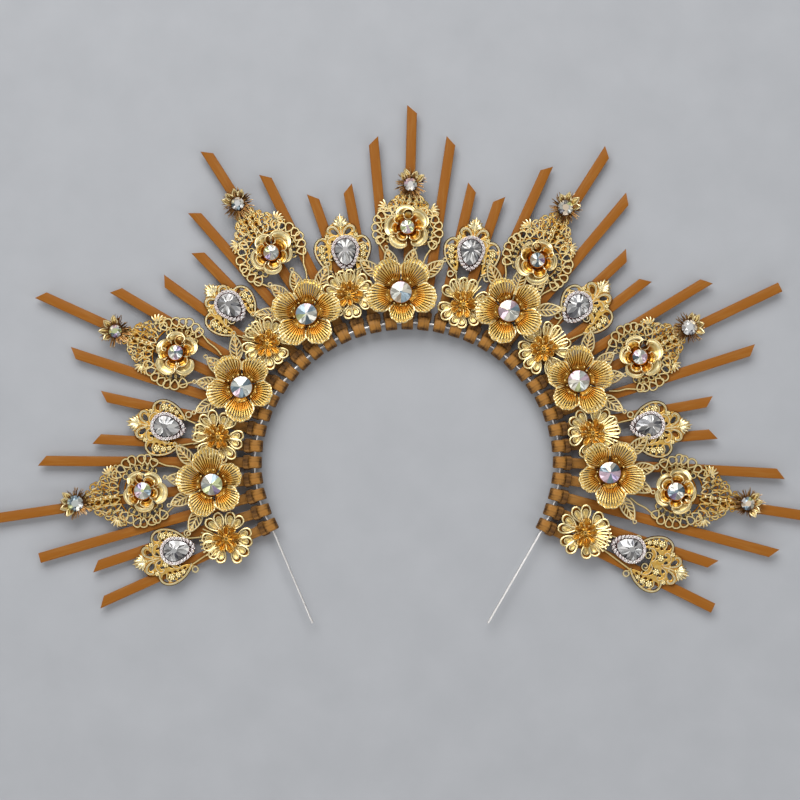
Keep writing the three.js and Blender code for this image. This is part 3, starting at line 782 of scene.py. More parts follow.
# Places round the hoop
def hoop_at(distance):
    """The point and the outward bearing at a distance along the wire from the top."""
    side = math.copysign(1, distance)
    length = abs(distance)
    top_length = TOP_RADIUS * TOP_SWEEP
    on_top = length <= top_length
    radius = TOP_RADIUS if on_top else SIDE_RADIUS
    bearing = length / TOP_RADIUS if on_top else TOP_SWEEP + (length - top_length) / SIDE_RADIUS
    point = polar(TOP_SWEEP, TOP_RADIUS - radius) + polar(bearing, radius)
    return np.array(HOOP_CENTRE) + point * [side, 1], side * bearing


def station_at(tie_number):
    point, bearing = hoop_at((tie_number - MIDDLE_TIE) * TIE_PITCH)
    return point, bearing + LEAN * math.sin(LEAN_WAVE * bearing)


def place_at(station, offset):
    return turned(*station, *offset)


def bearing_from(start, end):
    return math.atan2(end[0] - start[0], end[1] - start[1])


# Wire hoop and ties
def wire_end(side, end):
    """The straight bare end of the wire on one side, from the hoop outward."""
    point, bearing = hoop_at(side * HOOP_HALF)
    heading = bearing + side * end["turn"]
    steps = np.linspace(0.02, 1, 14)
    return turned(point, heading, 0, side * end["length"] * steps)


def wire_hoop():
    hoop = [hoop_at(distance)[0] for distance in np.linspace(-HOOP_HALF, HOOP_HALF, 150)]
    path = np.vstack([wire_end(-1, LEFT_END)[::-1], hoop, wire_end(1, RIGHT_END)])
    shell = Shell()
    shell.tube(lifted(path, WIRE_HEIGHT), WIRE_RADIUS, sides=10, shade=RIM, painted_side_shade=WIRE_SIDE_SHADE)
    piece = shell.build("wire", "wire", (0, 0), 0)
    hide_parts("wire_hoop")


def strap_section():
    """The strap's rounded cross-section, as rows of (across, out of the face)."""
    corners = []
    for turn in range(4):
        across = (STRAP_WIDTH / 2 - STRAP_CORNER) * (1 if turn in (0, 3) else -1)
        out = (STRAP_THICKNESS / 2 - STRAP_CORNER) * (1 if turn < 2 else -1)
        for angle in np.radians([turn * 90, turn * 90 + 45, turn * 90 + 90]):
            corners.append((across + STRAP_CORNER * math.cos(angle), out + STRAP_CORNER * math.sin(angle)))
    return np.array(corners)


def strap(shell, reach, cut, bend):
    """The loop round the wire and the tail, which drifts aside by its bend and may end on a slant."""
    section = strap_section()
    middle = TAIL_BOTTOM + STRAP_THICKNESS / 2
    angles = np.linspace(0, LOOP_SWEEP, 28)
    tail_y = np.append(np.linspace(TAIL_START, reach - CUT_SLANT - CUT_MARGIN, 26), reach)
    path = np.vstack([
        np.column_stack([LOOP_HALF_WIDTH * np.cos(angles), middle + LOOP_HALF_HEIGHT * (1 + np.sin(angles))]),
        np.column_stack([tail_y, np.full(len(tail_y), middle)]),
    ])
    ahead = np.gradient(path, axis=0)
    ahead /= np.linalg.norm(ahead, axis=1, keepdims=True)
    out = np.column_stack([ahead[:, 1], -ahead[:, 0]])
    out[len(angles):] = [0, -1]
    loop_width = np.full(len(angles), LOOP_WIDENING)
    widening = np.append(loop_width, ease(tail_y, *LOOP_WIDE_SPAN, LOOP_WIDENING, 1))
    drift = bend * np.clip(path[:, 0] / reach, 0, 1) ** 2
    rows = np.empty((len(path), len(section), 3))
    rows[..., 0] = section[:, 0] * widening[:, None] + drift[:, None]
    rows[..., 1:] = path[:, None] + out[:, None] * section[:, 1:]
    slant = CUT_SLANT if cut else 0
    rows[-1, :, 1] = reach - slant * (0.5 - cut * section[:, 0] / STRAP_WIDTH)
    # Painted shade and light: each loop dark at its inner end and lit at its crest, the tail blending outward
    shade = ease(np.sin(angles), *LOOP_SHADE_SPAN, *LOOP_SHADES)
    shade = np.append(shade, ease(tail_y, *TAIL_SHADE_SPAN, *TAIL_SHADES))
    shell.grid(rows, shade, around=True, capped=True)


def strap_teeth(shell, reach):
    """The ratchet teeth across the underside of the tail."""
    half = STRAP_WIDTH / 2 - TOOTH["margin"]
    pitch = TOOTH["pitch"]
    root, crest = TAIL_BOTTOM + TOOTH["root"], TAIL_BOTTOM - TOOTH["depth"]
    for start in np.arange(HEAD["far"] + TOOTH["first"], reach - CUT_SLANT - pitch, pitch):
        side = [(start, root), (start + pitch * TOOTH["crest"], crest), (start + pitch, root)]
        shell.grid([[(across, *spot) for spot in side] for across in (-half, half)], around=True, capped=True)


def strap_head(shell):
    """The square head, with softened edges and the raised frame round the strap's slot."""
    half, near, far, height = HEAD["width"] / 2, HEAD["near"], HEAD["far"], HEAD["height"]
    nick, corner, edge = HEAD["near_corner"], HEAD["far_corner"], HEAD["edge"]
    right = [(half - nick, near), (half, near + nick), (half, far - corner), (half - corner, far)]
    outline = np.vstack([right, mirrored(right)[::-1]])
    centre = outline.mean(0)
    rings = [
        (edge, 0), (0, edge), (0, height - edge), (edge, height), (HEAD_SLOT["frame"], height),
        (HEAD_SLOT["inset"], height - HEAD_SLOT["depth"]),
    ]
    rows = [lifted(centre + (outline - centre) * (1 - inset / half), level) for inset, level in rings]
    # The head is painted dark as shade
    shell.grid(rows, HEAD_SHADE, around=True, capped=True)


def tie(number, row):
    trim, swing, cut = row
    reach_at_top, per_degree = REACH_PATTERN[(number - MIDDLE_TIE) % len(REACH_PATTERN)]
    point, bearing = station_at(number)
    from_top = abs(math.degrees(hoop_at((number - MIDDLE_TIE) * TIE_PITCH)[1]))
    reach = reach_at_top + per_degree * from_top + trim
    rng = np.random.default_rng(TIE_SEED + number)
    shell = Shell()
    strap(shell, reach, cut, rng.uniform(-STRAP_BEND, STRAP_BEND))
    strap_teeth(shell, reach)
    strap_head(shell)
    name = f"tie_{number:02d}"
    piece = shell.build(f"{name}_strap", "tie_paint", point, bearing + math.radians(swing))
    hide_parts(name)


# Cut stones
def outline_points(outline, angles, factor=1):
    """Flat points on an outline that gives its radius at an angle, anticlockwise from -Y."""
    return polar(math.pi - angles, factor * np.array([outline(angle) for angle in angles]))


def round_outline(radius):
    return lambda angle: radius


def cut_stone(shell, centre, outline, cut, palette, rng):
    """A brilliant cut: a table, star, kite and girdle facets, and a short wall under the girdle."""
    mains = cut.mains
    base, girdle, middle, table = (cut.seat + height for height in cut.heights)
    middle_factor, table_factor = cut.factors
    angles = turns(2 * mains)
    points = np.vstack([
        lifted(centre + outline_points(outline, around, factor), level)
        for around, factor, level in (
            (angles, 1, base), (angles, 1, girdle), (angles[::2], middle_factor, middle),
            (angles[1::2], table_factor, table),
        )
    ])
    girdle_at, middle_at, table_at = 2 * mains, 4 * mains, 5 * mains
    faces = [list(range(table_at, table_at + mains)), list(range(girdle_at))[::-1]]
    for main in range(mains):
        after = (main + 1) % mains
        g0, g1, g2 = (girdle_at + (2 * main + step) % girdle_at for step in range(3))
        faces.append((g0, g1, middle_at + main))
        faces.append((g1, g2, middle_at + after))
        faces.append((g1, middle_at + after, table_at + main, middle_at + main))
        faces.append((middle_at + after, table_at + after, table_at + main))
        faces.append((g0 - girdle_at, g1 - girdle_at, g1, g0))
        faces.append((g1 - girdle_at, g2 - girdle_at, g2, g1))
    # Each facet takes a colour from the palette, varied in strength, that paints its reflection of light or
    # dark
    picks = rng.integers(len(palette), size=len(faces) // cut.patch + 1)
    tints_and_reflections = []
    for facet in range(len(faces)):
        colour = np.array(palette[picks[max(facet - 2, 0) // cut.patch]])
        tints_and_reflections.append((*np.clip(colour * rng.uniform(*cut.strength), 0, 1), 1.0))
    shell.push(points, faces, PLAIN, tints_and_reflections)


# Large flower with its spray of leaves
def ribbed_petal(shell, bearing, reach, base, rise, rng):
    """A broad fan petal: ribs from the stem to a scalloped rim, with slots between them near the rim."""
    columns = FLOWER_RIBS * RIB_STEPS
    u, v = petal_grid(columns + 1, PETAL_ROWS)
    scallop = 0.5 * np.abs(np.sin(2.5 * math.pi * u + rng.uniform(-0.6, 0.6)))
    edge = reach * (1 - 0.3 * np.abs(u) ** 2.4) + scallop
    radius = FLOWER_START + (edge - FLOWER_START) * v
    spread = FLOWER_HALF_ANGLE * (0.82 + 0.3 * v - 0.16 * v**4)
    ripple = rng.uniform(0.3, 0.7) * np.sin(rng.uniform(2.5, 5) * u + rng.uniform(0, 6)) * v**2
    angle = bearing + u * spread + 0.03 * ripple
    crests = np.cos(math.pi * u * FLOWER_RIBS)
    cup = rise * v**1.35 + 1.5 * (1 + inwardness(bearing)) * u**2 * v - 1.2 * ease(v, 0.8, 1.05)
    height = base + cup + ripple + 0.3 * crests * ease(v, 0.15, 0.4)
    points = np.dstack([polar(angle, radius), height])
    # Painted shade and light: dark at the foot, light at the rim, light on the ribs and dark between them,
    # and darker at the sides where neighbouring petals overlap
    shade = ease(v, 0.05, 0.75, 0.1, 0.68) + ease(v, 0.75, 1, 0, 0.32)
    shade += 0.3 * crests - 0.35 * ease(np.abs(u), 0.7, 1)
    slots = np.zeros((PETAL_ROWS - 1, columns), bool)
    first = OUTWARD_SLOTS if math.cos(bearing) > 0 else INWARD_SLOTS
    slots[first:SLOT_END, 0::RIB_STEPS] = True
    slots[first:SLOT_END, RIB_STEPS - 1::RIB_STEPS] = True
    slots[:, :RIB_STEPS] = False
    slots[:, -RIB_STEPS:] = False
    shell.sheet(points, SHEET, shade, slots)
    shell.rim(points, 8, BOLD_RIM)


def fern_leaf(shell, bearing, start, tip):
    """A pierced leaf on a stem from the flower: an outline and a midrib joined by slanted veins."""
    length = tip - start

    def width_at(fraction):
        return LEAF_HALF * np.sin(math.pi * fraction**0.8) ** 0.75

    def wire(path, radius, closed=False, shade=RIM):
        right, out = np.asarray(path, float).T
        heights = LEAF_LEVEL + LEAF_RISE * (np.maximum(out, 0) / length) ** 2
        path = lifted(turned((0, 0), bearing, start + out, right), heights)
        shell.tube(path, radius, closed=closed, shade=shade)

    rib = [(0, LEAF_ROOT - start), *[(0, out) for out in np.linspace(0, length, 10)]]
    wire(rib, np.linspace(*LEAF_RIB, len(rib)))
    fractions = np.linspace(0, 1, 15)
    edge = np.column_stack([width_at(fractions), fractions * length])
    wire(np.vstack([edge, mirrored(edge[1:-1])[::-1]]), STOUT, closed=True)
    for vein in VEINS:
        reach = vein + VEIN_CLIMB
        for side in (-1, 1):
            wire([(0, vein * length), (side * width_at(reach), reach * length)], LIGHT, shade=BRIGHT)
    wire(circle((0, length + 0.9), LEAF_RING, 10), FINE, closed=True)


def flower(number, row):
    tie_number, offset, turn = row[:3]
    station = station_at(tie_number)
    place = place_at(station, offset)
    rng = np.random.default_rng(FLOWER_SEED + number)
    petals = Shell()
    for petal in range(FLOWER_PETALS):
        bearing = math.radians(turn + 360 / FLOWER_PETALS * petal + rng.uniform(-4, 4))
        inward = inwardness(bearing)
        reach = FLOWER_REACH * (1 - 0.1 * inward) * rng.uniform(0.92, 1.03)
        rise = FLOWER_RISE + 0.7 * inward + rng.uniform(-0.7, 0.4)
        ribbed_petal(petals, bearing, reach, PETAL_BOTTOM + 0.2 + 1.1 * (petal % 2), rise, rng)
    petals.revolve(FLOWER_STEM, shade=AMBER)
    for bead in range(FLOWER_BEADS):
        bearing = FULL_TURN * (bead + rng.uniform(-0.3, 0.3)) / FLOWER_BEADS
        spot = polar(bearing, rng.uniform(*FLOWER_BEAD_RING))
        petals.bead((*spot, PETAL_BOTTOM + 1.75), FLOWER_BEAD, sides=6, rings=3, shade=PLAIN)
    # A wire round the stone, painted dark as shade
    bezel = circle((0, 0), FLOWER_STONE + 0.1, 32)
    petals.tube(lifted(bezel, PETAL_BOTTOM + 1.45), HAIR, closed=True, shade=DEEP)
    piece = petals.build(f"flower_{number}_petals", "gold", place, station[1])
    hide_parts(f"flower_{number}")
    leaves = Shell()
    for leaf_bearing, start, tip in LEAVES:
        fern_leaf(leaves, math.radians(leaf_bearing + rng.uniform(-3, 3)), start, tip)
    leaves.build(f"flower_{number}_leaves", "gold", place, station[1])
    stone = Shell()
    cut_stone(stone, (0, 0), round_outline(FLOWER_STONE), FLOWER_CUT, AURORA_AND_REFLECTIONS, rng)
    stone.build(f"flower_{number}_stone", "crystal", place, station[1])


# Fan: filigree, rose and tip flower
def fan_reach(bearing, top):
    """How far the filigree's rim is from the rose at a bearing; top is its reach at the crest's foot."""
    high = top if math.cos(bearing) > 0 else FAN_LOW
    return 1 / math.hypot(math.sin(bearing) / FAN_HALF, math.cos(bearing) / high)


def fan_rim(shell, top, rng):
    """Teardrop loops round the rim, and inside them a row of eyes between two ring wires."""
    def wire(path, level, radius, shade, closed=True):
        shell.tube(lifted(path, level), radius, closed=closed, shade=shade, painted_side_shade=LACE_SIDE_SHADE)

    for side in (-1, 1):
        for loop in range(FAN_LOOPS):
            bearing = np.radians(np.linspace(*FAN_LOOP_ARC, FAN_LOOPS)[loop] + rng.uniform(-2.5, 2.5))
            reach = fan_reach(bearing, top) - FAN_INSET
            lean = bearing - math.radians(rng.uniform(4, 26))
            length = FAN_INSET + rng.uniform(-0.3, 0.7)
            outline = teardrop(polar(bearing, reach), lean, length, rng.uniform(*FAN_LOOP_WIDTH)) * [side, 1]
            wire(outline, FILIGREE + rng.uniform(0, 0.5), STOUT, RIM)
            eye = polar(bearing + math.radians(6), reach - FAN_EYE_BAND / 2) * [side, 1]
            wire(circle(eye, rng.uniform(*FAN_EYE), 12), FILIGREE, MEDIUM, BRIGHT)
    # The ring wires are painted darker than the loops, as shade
    for offset in (FAN_INSET, FAN_INSET + FAN_EYE_BAND):
        ring = [polar(b, fan_reach(b, top) - offset) for b in np.linspace(-FAN_RING_ARC, FAN_RING_ARC, 61)]
        wire(ring, FILIGREE, MEDIUM, AMBER, closed=False)


def fan_crest(shell, tip, rng):
    """The crest between the rose and the tip flower: rows of loops, side finials and a beaded stem."""
    for side in (-1, 1):
        def wire(path, radius, shade, closed=True):
            path = np.asarray(path, float) * [side, 1]
            shell.tube(lifted(path, CREST_LEVEL), radius, closed=closed, shade=shade, painted_side_shade=LACE_SIDE_SHADE)

        for height, half, count in FAN_TIERS:
            for loop in range(count):
                across = half * (loop + 0.55) / count
                base = (0.84 * across, height * tip)
                lean = math.radians(5 * across + rng.uniform(-14, 14))
                tone = rng.uniform(PLAIN, RIM) + 0.2 - 0.35 * height
                size = (rng.uniform(0.13, 0.17) * tip, rng.uniform(2.7, 3.4))
                wire(teardrop(base, lean, *size), FIRM, tone)
                # A smaller inner loop, painted darker as shade inside the outer one
                wire(teardrop(base, lean, 0.1 * tip, 1.7, 12), THREAD, AMBER)
                eyelet = polar(lean + 0.5, 0.12 * tip) + base
                wire(circle(eyelet, FAN_EYELET, 10), EYELET_WIRE, PLAIN)
        wire(spline([(across, height * tip) for across, height in FAN_CREST]), FIRM, RIM, closed=False)
        for fin in range(FAN_FINS):
            stops = np.array(FIN_STOPS)
            path = polar(math.radians(8 + 26 * fin) + 0.3 * stops, FIN_LENGTH * stops) + [10.6, 0.43 * tip]
            shell.tube(lifted(path * [side, 1], CREST_LEVEL + 0.2), FIN_RADII, shade=RIM)
    for bead, height in enumerate(np.linspace(0.42 * tip, 0.84 * tip, 7)):
        shell.bead((0, height, CREST_LEVEL + 0.15), 0.95 - 0.07 * bead, shade=RIM)
    shell.tube(lifted([(0, 0.3 * tip), (0, 0.86 * tip)], CREST_LEVEL - 0.2), FIRM)


def fan_base(shell):
    """Two bare wires from the sides in to the flower below."""
    for side in (-1, 1):
        shell.tube(lifted(spline(FAN_BASE) * [side, 1], FILIGREE), FIRM, flat=1.1, shade=BRIGHT)


def cupped_petal(shell, bearing, reach, half_angle, base, form, shades, rng):
    """A smooth rounded petal, cupped across and curled over at its rim; form is its rise, cup and curl."""
    rise, cup, curl = form
    inner, outer = reach
    u, v = petal_grid(21, PETAL_ROWS)
    edge = outer * (1 - 0.22 * np.abs(u) ** 2.6)
    radius = inner + (edge - inner) * v
    angle = bearing + u * half_angle * (0.6 + 0.62 * v - 0.2 * v**3)
    wave = rng.uniform(-0.6, 0.6) * np.sin(rng.uniform(2, 4) * u + rng.uniform(0, 6)) * v
    ridges = np.cos(7 * math.pi * v) * ease(v, 0.3, 0.6)
    height = base + rise * v**1.25 + cup * u**2 * v - curl * ease(v, 0.75, 1.02) + wave + 0.13 * ridges
    points = np.dstack([polar(angle, radius), height])
    # Painted shade at the petal's foot, a painted highlight towards its rim, and light and dark on its ridges
    shell.sheet(points, SHEET, ease(v, 0.2, 0.95, *shades) + 0.12 * ridges)
    shell.rim(points, 9, FINE)


def rose(shell, stone, open_side, rng):
    """Broad outer petals, a curled inner cup that is open on one side, and a collar round the stone."""
    turn = math.radians(rng.uniform(-12, 12))
    for petal in range(ROSE_PETALS):
        bearing = turn + math.radians(360 / ROSE_PETALS * petal + rng.uniform(-9, 9))
        reach = (2.5, rng.uniform(*ROSE_REACH))
        half = math.radians(rng.uniform(30, 38))
        form = (rng.uniform(1.6, 3.4), rng.uniform(0.4, 2), rng.uniform(0.3, 1.3))
        base = PLATE_TOP + 0.1 + 0.6 * (petal % 2)
        cupped_petal(shell, bearing, reach, half, base, form, (DEEP, BRIGHT), rng)
    for petal in range(ROSE_INNER_PETALS):
        bearing = turn + math.radians(360 / ROSE_INNER_PETALS * (petal + 0.5) + rng.uniform(-9, 9))
        gap = (bearing - open_side + math.pi) % FULL_TURN - math.pi
        if abs(gap) > ROSE_GAP:
            reach = (2.6, rng.uniform(*ROSE_INNER_REACH))
            half = math.radians(rng.uniform(26, 33))
            form = (rng.uniform(1.4, 2.4), rng.uniform(1.4, 2.4), 0.3)
            base = PLATE_TOP + 1.4 + 0.4 * (petal % 2)
            cupped_petal(shell, bearing, reach, half, base, form, (DEEP, AMBER), rng)
    # The open hollow, painted dark inside as shade
    hollow = polar(open_side, ROSE_HOLLOW_OUT)
    around = np.linspace(0, FULL_TURN, 15)
    rows = [lifted(hollow + polar(around, radius), PLATE_TOP + height) for radius, height, _ in ROSE_HOLLOW]
    shell.sheet(np.array(rows), THIN_SHEET, [[shade] for _, _, shade in ROSE_HOLLOW])
    # The collar round the stone is painted dark as shade
    collar = [(2.4, -0.2), (stone * 0.9, 2.6), (stone + 0.5, 3.6), (stone + 0.25, 4), (stone - 0.2, 3.7)]
    shell.revolve([(radius, PLATE_TOP + height) for radius, height in collar], shade=DEEP)


def pointed_petal(shell, bearing, reach, centre, lift):
    """A small folded petal with a sharp tip that stands up beside the tip flower's stone."""
    inner, outer = reach
    u, v = petal_grid(9, 8)
    across = 1.4 * u * np.sin(math.pi * (0.12 + 0.88 * v) ** 0.8)
    height = PLATE_BOTTOM + 1.4 + lift * v**1.3 + 0.7 * u**2 * np.sin(math.pi * v)
    points = np.dstack([turned((0, centre), bearing, inner + (outer - inner) * v, across), height])
    shell.sheet(points, LEAF_SHEET, AMBER + 0.5 * v)
    shell.tube(np.vstack([points[1:, 0], points[1:-1, -1][::-1]]), THREAD, shade=RIM)


def tip_flower(bronze, gold, tip, stone, rng):
    """A tuft of curled spikes round a stone in prongs, with a few pale pointed petals."""
    bronze.revolve(TIP_BASE, (0, tip), shade=0.4)
    fractions = np.array(SPIKE_STOPS)
    for spike in range(TIP_SPIKES):
        bearing = FULL_TURN * (spike + rng.uniform(-0.35, 0.35)) / TIP_SPIKES
        reach = rng.uniform(*SPIKE_REACH)
        heights = PLATE_BOTTOM + 1 + rng.uniform(*SPIKE_LIFT) * fractions**1.6
        flat = polar(bearing + rng.uniform(-0.25, 0.25) * fractions**2, reach * fractions) + [0, tip]
        bronze.tube(lifted(flat, heights), SPIKE_RADII, sides=5, shade=SPIKE_SHADES, painted_side_shade=SPIKE_SIDE_SHADE)
    for bearing in TIP_PETALS:
        lean = math.radians(bearing + rng.uniform(-8, 8))
        pointed_petal(gold, lean, (TIP_PETAL_START, rng.uniform(6.6, 7.8)), tip, rng.uniform(2, 3))
    for bearing in turns(TIP_PRONGS):
        foot = polar(bearing, stone + 0.15) + [0, tip]
        head = polar(bearing, stone - 0.5) + [0, tip]
        path = lifted([foot, foot, head], [PLATE_BOTTOM + 1, PLATE_BOTTOM + 2.5, PLATE_BOTTOM + 3.1])
        bronze.tube(path, NEEDLE, sides=4, shade=PRONG_SHADE)


def fan(number, row):
    tie_number, _, _, rose_offset, tip_offset, rose_stone, tip_stone, open_side = row
    station = station_at(tie_number)
    centre = place_at(station, rose_offset)
    tip_place = place_at(station, tip_offset)
    bearing = bearing_from(centre, tip_place)
    tip = float(np.linalg.norm(tip_place - centre))
    rng = np.random.default_rng(FAN_SEED + number)
    filigree = Shell()
    fan_rim(filigree, FAN_TOP * tip, rng)
    fan_crest(filigree, tip, rng)
    fan_base(filigree)
    bronze = Shell()
    for side in (-1, 1):
        for start, end in FAN_NECKS:
            neck = spline([(start, 0.72 * tip), (1.8 * end, 0.84 * tip), (end, 0.95 * tip)]) * [side, 1]
            bronze.tube(lifted(neck, FILIGREE), LIGHT, sides=5, shade=PRONG_SHADE)
    tip_flower(bronze, filigree, tip, tip_stone, rng)
    petals = Shell()
    rose(petals, rose_stone, math.radians(open_side), rng)
    stones = Shell()
    cut_stone(stones, (0, 0), round_outline(rose_stone), ROSE_CUT, AURORA_AND_REFLECTIONS, rng)
    cut_stone(stones, (0, tip), round_outline(tip_stone), TIP_CUT, AURORA_AND_REFLECTIONS + CLEAR_REFLECTIONS, rng)
    piece = filigree.build(f"fan_{number}_filigree", "gold", centre, bearing)
    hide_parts(f"fan_{number}")
    petals.build(f"fan_{number}_rose", "gold", centre, bearing)
    bronze.build(f"fan_{number}_tip_flower", "bronze", centre, bearing)
    stones.build(f"fan_{number}_stones", "crystal", centre, bearing)


# Drop: frame, pear stone in its halo, and bloom
def pear_outline(factor):
    """The pear's radius at an angle from its point, which is towards the hoop."""
    def radius(angle):
        towards = max(0.0, math.cos(angle))
        return factor * PEAR_RADIUS * (1 + PEAR_POINT * towards**4 + PEAR_TIP * towards**40)

    return radius


def drop_plate():
    """The stamped plate under the pear: two pierced lobes and a crest with a hollow under each horn."""
    right = np.array(DROP_EDGE)
    inside = np.array(DROP_INSIDE)
    edge = np.vstack([right, mirrored(right[:-1])[::-1], mirrored(inside)[::-1], inside])
    shapes = [spline(outline, 3, closed=True) for outline in (DROP_CRESCENT, DROP_HOLLOW)]
    shapes += [oval(centre, math.radians(turn), *size) for centre, turn, *size in DROP_HOLES]
    holes = [shape * [side, 1] for side in (-1, 1) for shape in shapes]
    return pierced_plate(edge, holes, PLATE_TOP - PLATE_BOTTOM, PLATE_EDGE)


def rosette(shell, spot, radius):
    """A small raised flower of beads on a dark disc painted as its shadow."""
    shell.bead((*spot, PLATE_TOP), radius + DROP_SHADOW, sides=10, rings=2, flat=0.1, shade=DARK)
    shell.bead((*spot, PLATE_TOP + 0.15), 0.5 * radius, shade=RIM)
    for bearing in turns(6):
        shell.bead((*(spot + polar(bearing, 0.68 * radius)), PLATE_TOP), 0.4 * radius, sides=6, rings=3)


def drop_frame(shell, stalk, shift, plate):
    """The plate with its edge wires, scrolls, rosettes and crest, and the two legs down to the bloom."""
    beyond, right = shift
    points, faces = plate
    # Painted shade: the plate's hole walls and underside are dark, its top face gold
    shade = np.where(points[:, 2] > 0, PLATE_SHADE, DARK)
    shell.push(points + [right, beyond, (PLATE_TOP + PLATE_BOTTOM) / 2], faces, shade)
    for side in (-1, 1):
        def at(path):
            return np.asarray(path, float) * [side, 1] + [right, beyond]

        def wire(path, radius):
            # A wider dark wire sunk just under each wire: a painted shadow round it on the plate
            under = lifted(at(path), PLATE_TOP - SHADOW_SINK)
            shell.tube(under, radius + DROP_SHADOW, sides=4, shade=DARK)
            shell.tube(lifted(at(path), PLATE_TOP), radius, shade=RIM, painted_side_shade=DROP_SIDE_SHADE)

        wire(spline(DROP_INSET * np.array(DROP_EDGE[:DROP_LOBE])), DROP_EDGE_WIRE)
        horn = spline(DROP_HORN)
        wire(horn, SLIM + 0.5 * np.sin(math.pi * np.linspace(0.1, 0.95, len(horn))))
        bearings = DROP_CURL["start"] + np.linspace(0, FULL_TURN * DROP_CURL["turns"], 18)
        radii = np.linspace(DROP_CURL["outer"], DROP_CURL["inner"], 18)
        wire(DROP_CURL["centre"] + polar(bearings, radii), SLIM)
        for strand, radius in DROP_STRANDS:
            wire(spline(strand), radius)
        for spot, radius in DROP_ROSETTES:
            rosette(shell, at(spot), radius)
        for bearing, length in DROP_FINGERS:
            fractions = np.linspace(0, 1, len(FINGER_RADII))
            finger = DROP_PALM + polar(math.radians(bearing), length * fractions)
            heights = PLATE_TOP + 0.5 * np.sin(math.pi * fractions)
            shell.tube(lifted(at(finger), heights), FINGER_RADII, sides=8, shade=RIM)
        leg = [at(DROP_KNEE), (DROP_FOOT[0] * side, DROP_FOOT[1] - stalk)]
        shell.tube(lifted(leg, FILIGREE), BOLD_RIM, shade=BRIGHT)
        shell.tube(lifted(circle(at(DROP_EYE), DROP_EYE_RADIUS, 12), FILIGREE), FIRM, closed=True, shade=RIM)
        shell.tube(lifted(at(DROP_EYE_STEM), FILIGREE), FIRM, shade=BRIGHT)
    stem = [(right, beyond + out) for out in DROP_STEM]
    shell.tube(lifted(stem, PLATE_TOP + 0.15), DROP_STEM_RADII, shade=RIM)
    shell.bead((right, beyond + 10.2, PLATE_TOP + 0.5), 0.9)


def halo_spots(offset=0.0):
    """The places of the halo's stones, at equal steps along the pear's outline."""
    path = outline_points(pear_outline(HALO_LINE), np.linspace(0, FULL_TURN, 400))
    lengths = np.concatenate([[0], np.cumsum(np.linalg.norm(np.diff(path, axis=0), axis=1))])
    stops = (np.arange(HALO_STONES) + offset) / HALO_STONES * lengths[-1]
    return np.column_stack([np.interp(stops, lengths, path[:, 0]), np.interp(stops, lengths, path[:, 1])])


def pear_setting(shell):
    """The silver setting: a pear-shaped cup and two beads between each two stones of the halo."""
    cup = [lifted(outline_points(pear_outline(factor), turns(48)), PLATE_TOP + height)
           for factor, height, _ in PEAR_CUP]
    shell.grid(cup, [shade for _, _, shade in PEAR_CUP], around=True, capped=True)
    for spot in halo_spots(0.5):
        shell.bead((*(spot * 1.08), PLATE_TOP + 1), 0.34, sides=6, rings=3, shade=RIM)
        shell.bead((*(spot * 0.9), PLATE_TOP + 1.1), 0.3, sides=6, rings=3, shade=RIM)


def pear_stones(shell, rng):
    cut_stone(shell, (0, 0), pear_outline(PEAR_STONE), PEAR_CUT, CLEAR_REFLECTIONS, rng)
    for spot in halo_spots():
        cut_stone(shell, spot, round_outline(HALO_STONE), HALO_CUT, BLUSH, rng)


def bloom_petal(shell, bearing, reach):
    """An outer petal: a ribbed blade that ends in two shallow shells side by side."""
    length = reach - BLOOM_START
    for side in (-1, 1):
        foot = polar(bearing + side * 0.14, BLOOM_START)
        loop = teardrop(foot, bearing + side * BLOOM_LOOP["lean"], length, BLOOM_LOOP["width"])
        rise = (np.linalg.norm(loop - foot, axis=1) / length) ** 2
        rim = lifted(loop, PETAL_BOTTOM + 0.7 + 0.9 * rise)
        middle = rim.mean(0)
        bowl = [middle + (rim - middle) * factor - [0, 0, depth] for factor, depth, _ in BLOOM_BOWL]
        inner = middle + (rim - middle) * BLOOM_LOOP["inner"] - [0, 0, 0.3]
        shell.tube(rim, FIRM, sides=8, closed=True, shade=RIM, painted_side_shade=LACE_SIDE_SHADE)
        # The bowl carries painted shade in its groove and underside, and a painted highlight on its ridge
        shell.grid(bowl, [shade for _, _, shade in BLOOM_BOWL], around=True, capped=True)
        shell.tube(inner, FINE, closed=True, shade=RIM, painted_side_shade=LACE_SIDE_SHADE)
    u, v = petal_grid(13, 7)
    angle = bearing + u * math.radians(25) * (0.9 - 0.1 * v)
    height = PETAL_BOTTOM + 0.9 * v + 0.14 * np.cos(6 * math.pi * u)
    shell.sheet(np.dstack([polar(angle, 2.4 + 5 * v), height]), THIN_SHEET, AMBER + 0.5 * v)


def bloom_rays(shell):
    """The fan of rays that shows between the loops of the outward petal."""
    for ray in range(BLOOM_RAYS):
        reach = BLOOM_RAY - 0.05 * (ray - BLOOM_RAYS // 2) ** 2
        flat = polar(math.radians(-36 + 9 * ray), np.array([3.5, 8, reach]))
        path = lifted(flat, [PETAL_BOTTOM + 0.4, PETAL_BOTTOM + 0.9, PETAL_BOTTOM + 1.5])
        shell.tube(path, [HAIR, LIGHT, FIRM], sides=5, shade=[AMBER, BRIGHT, RIM])


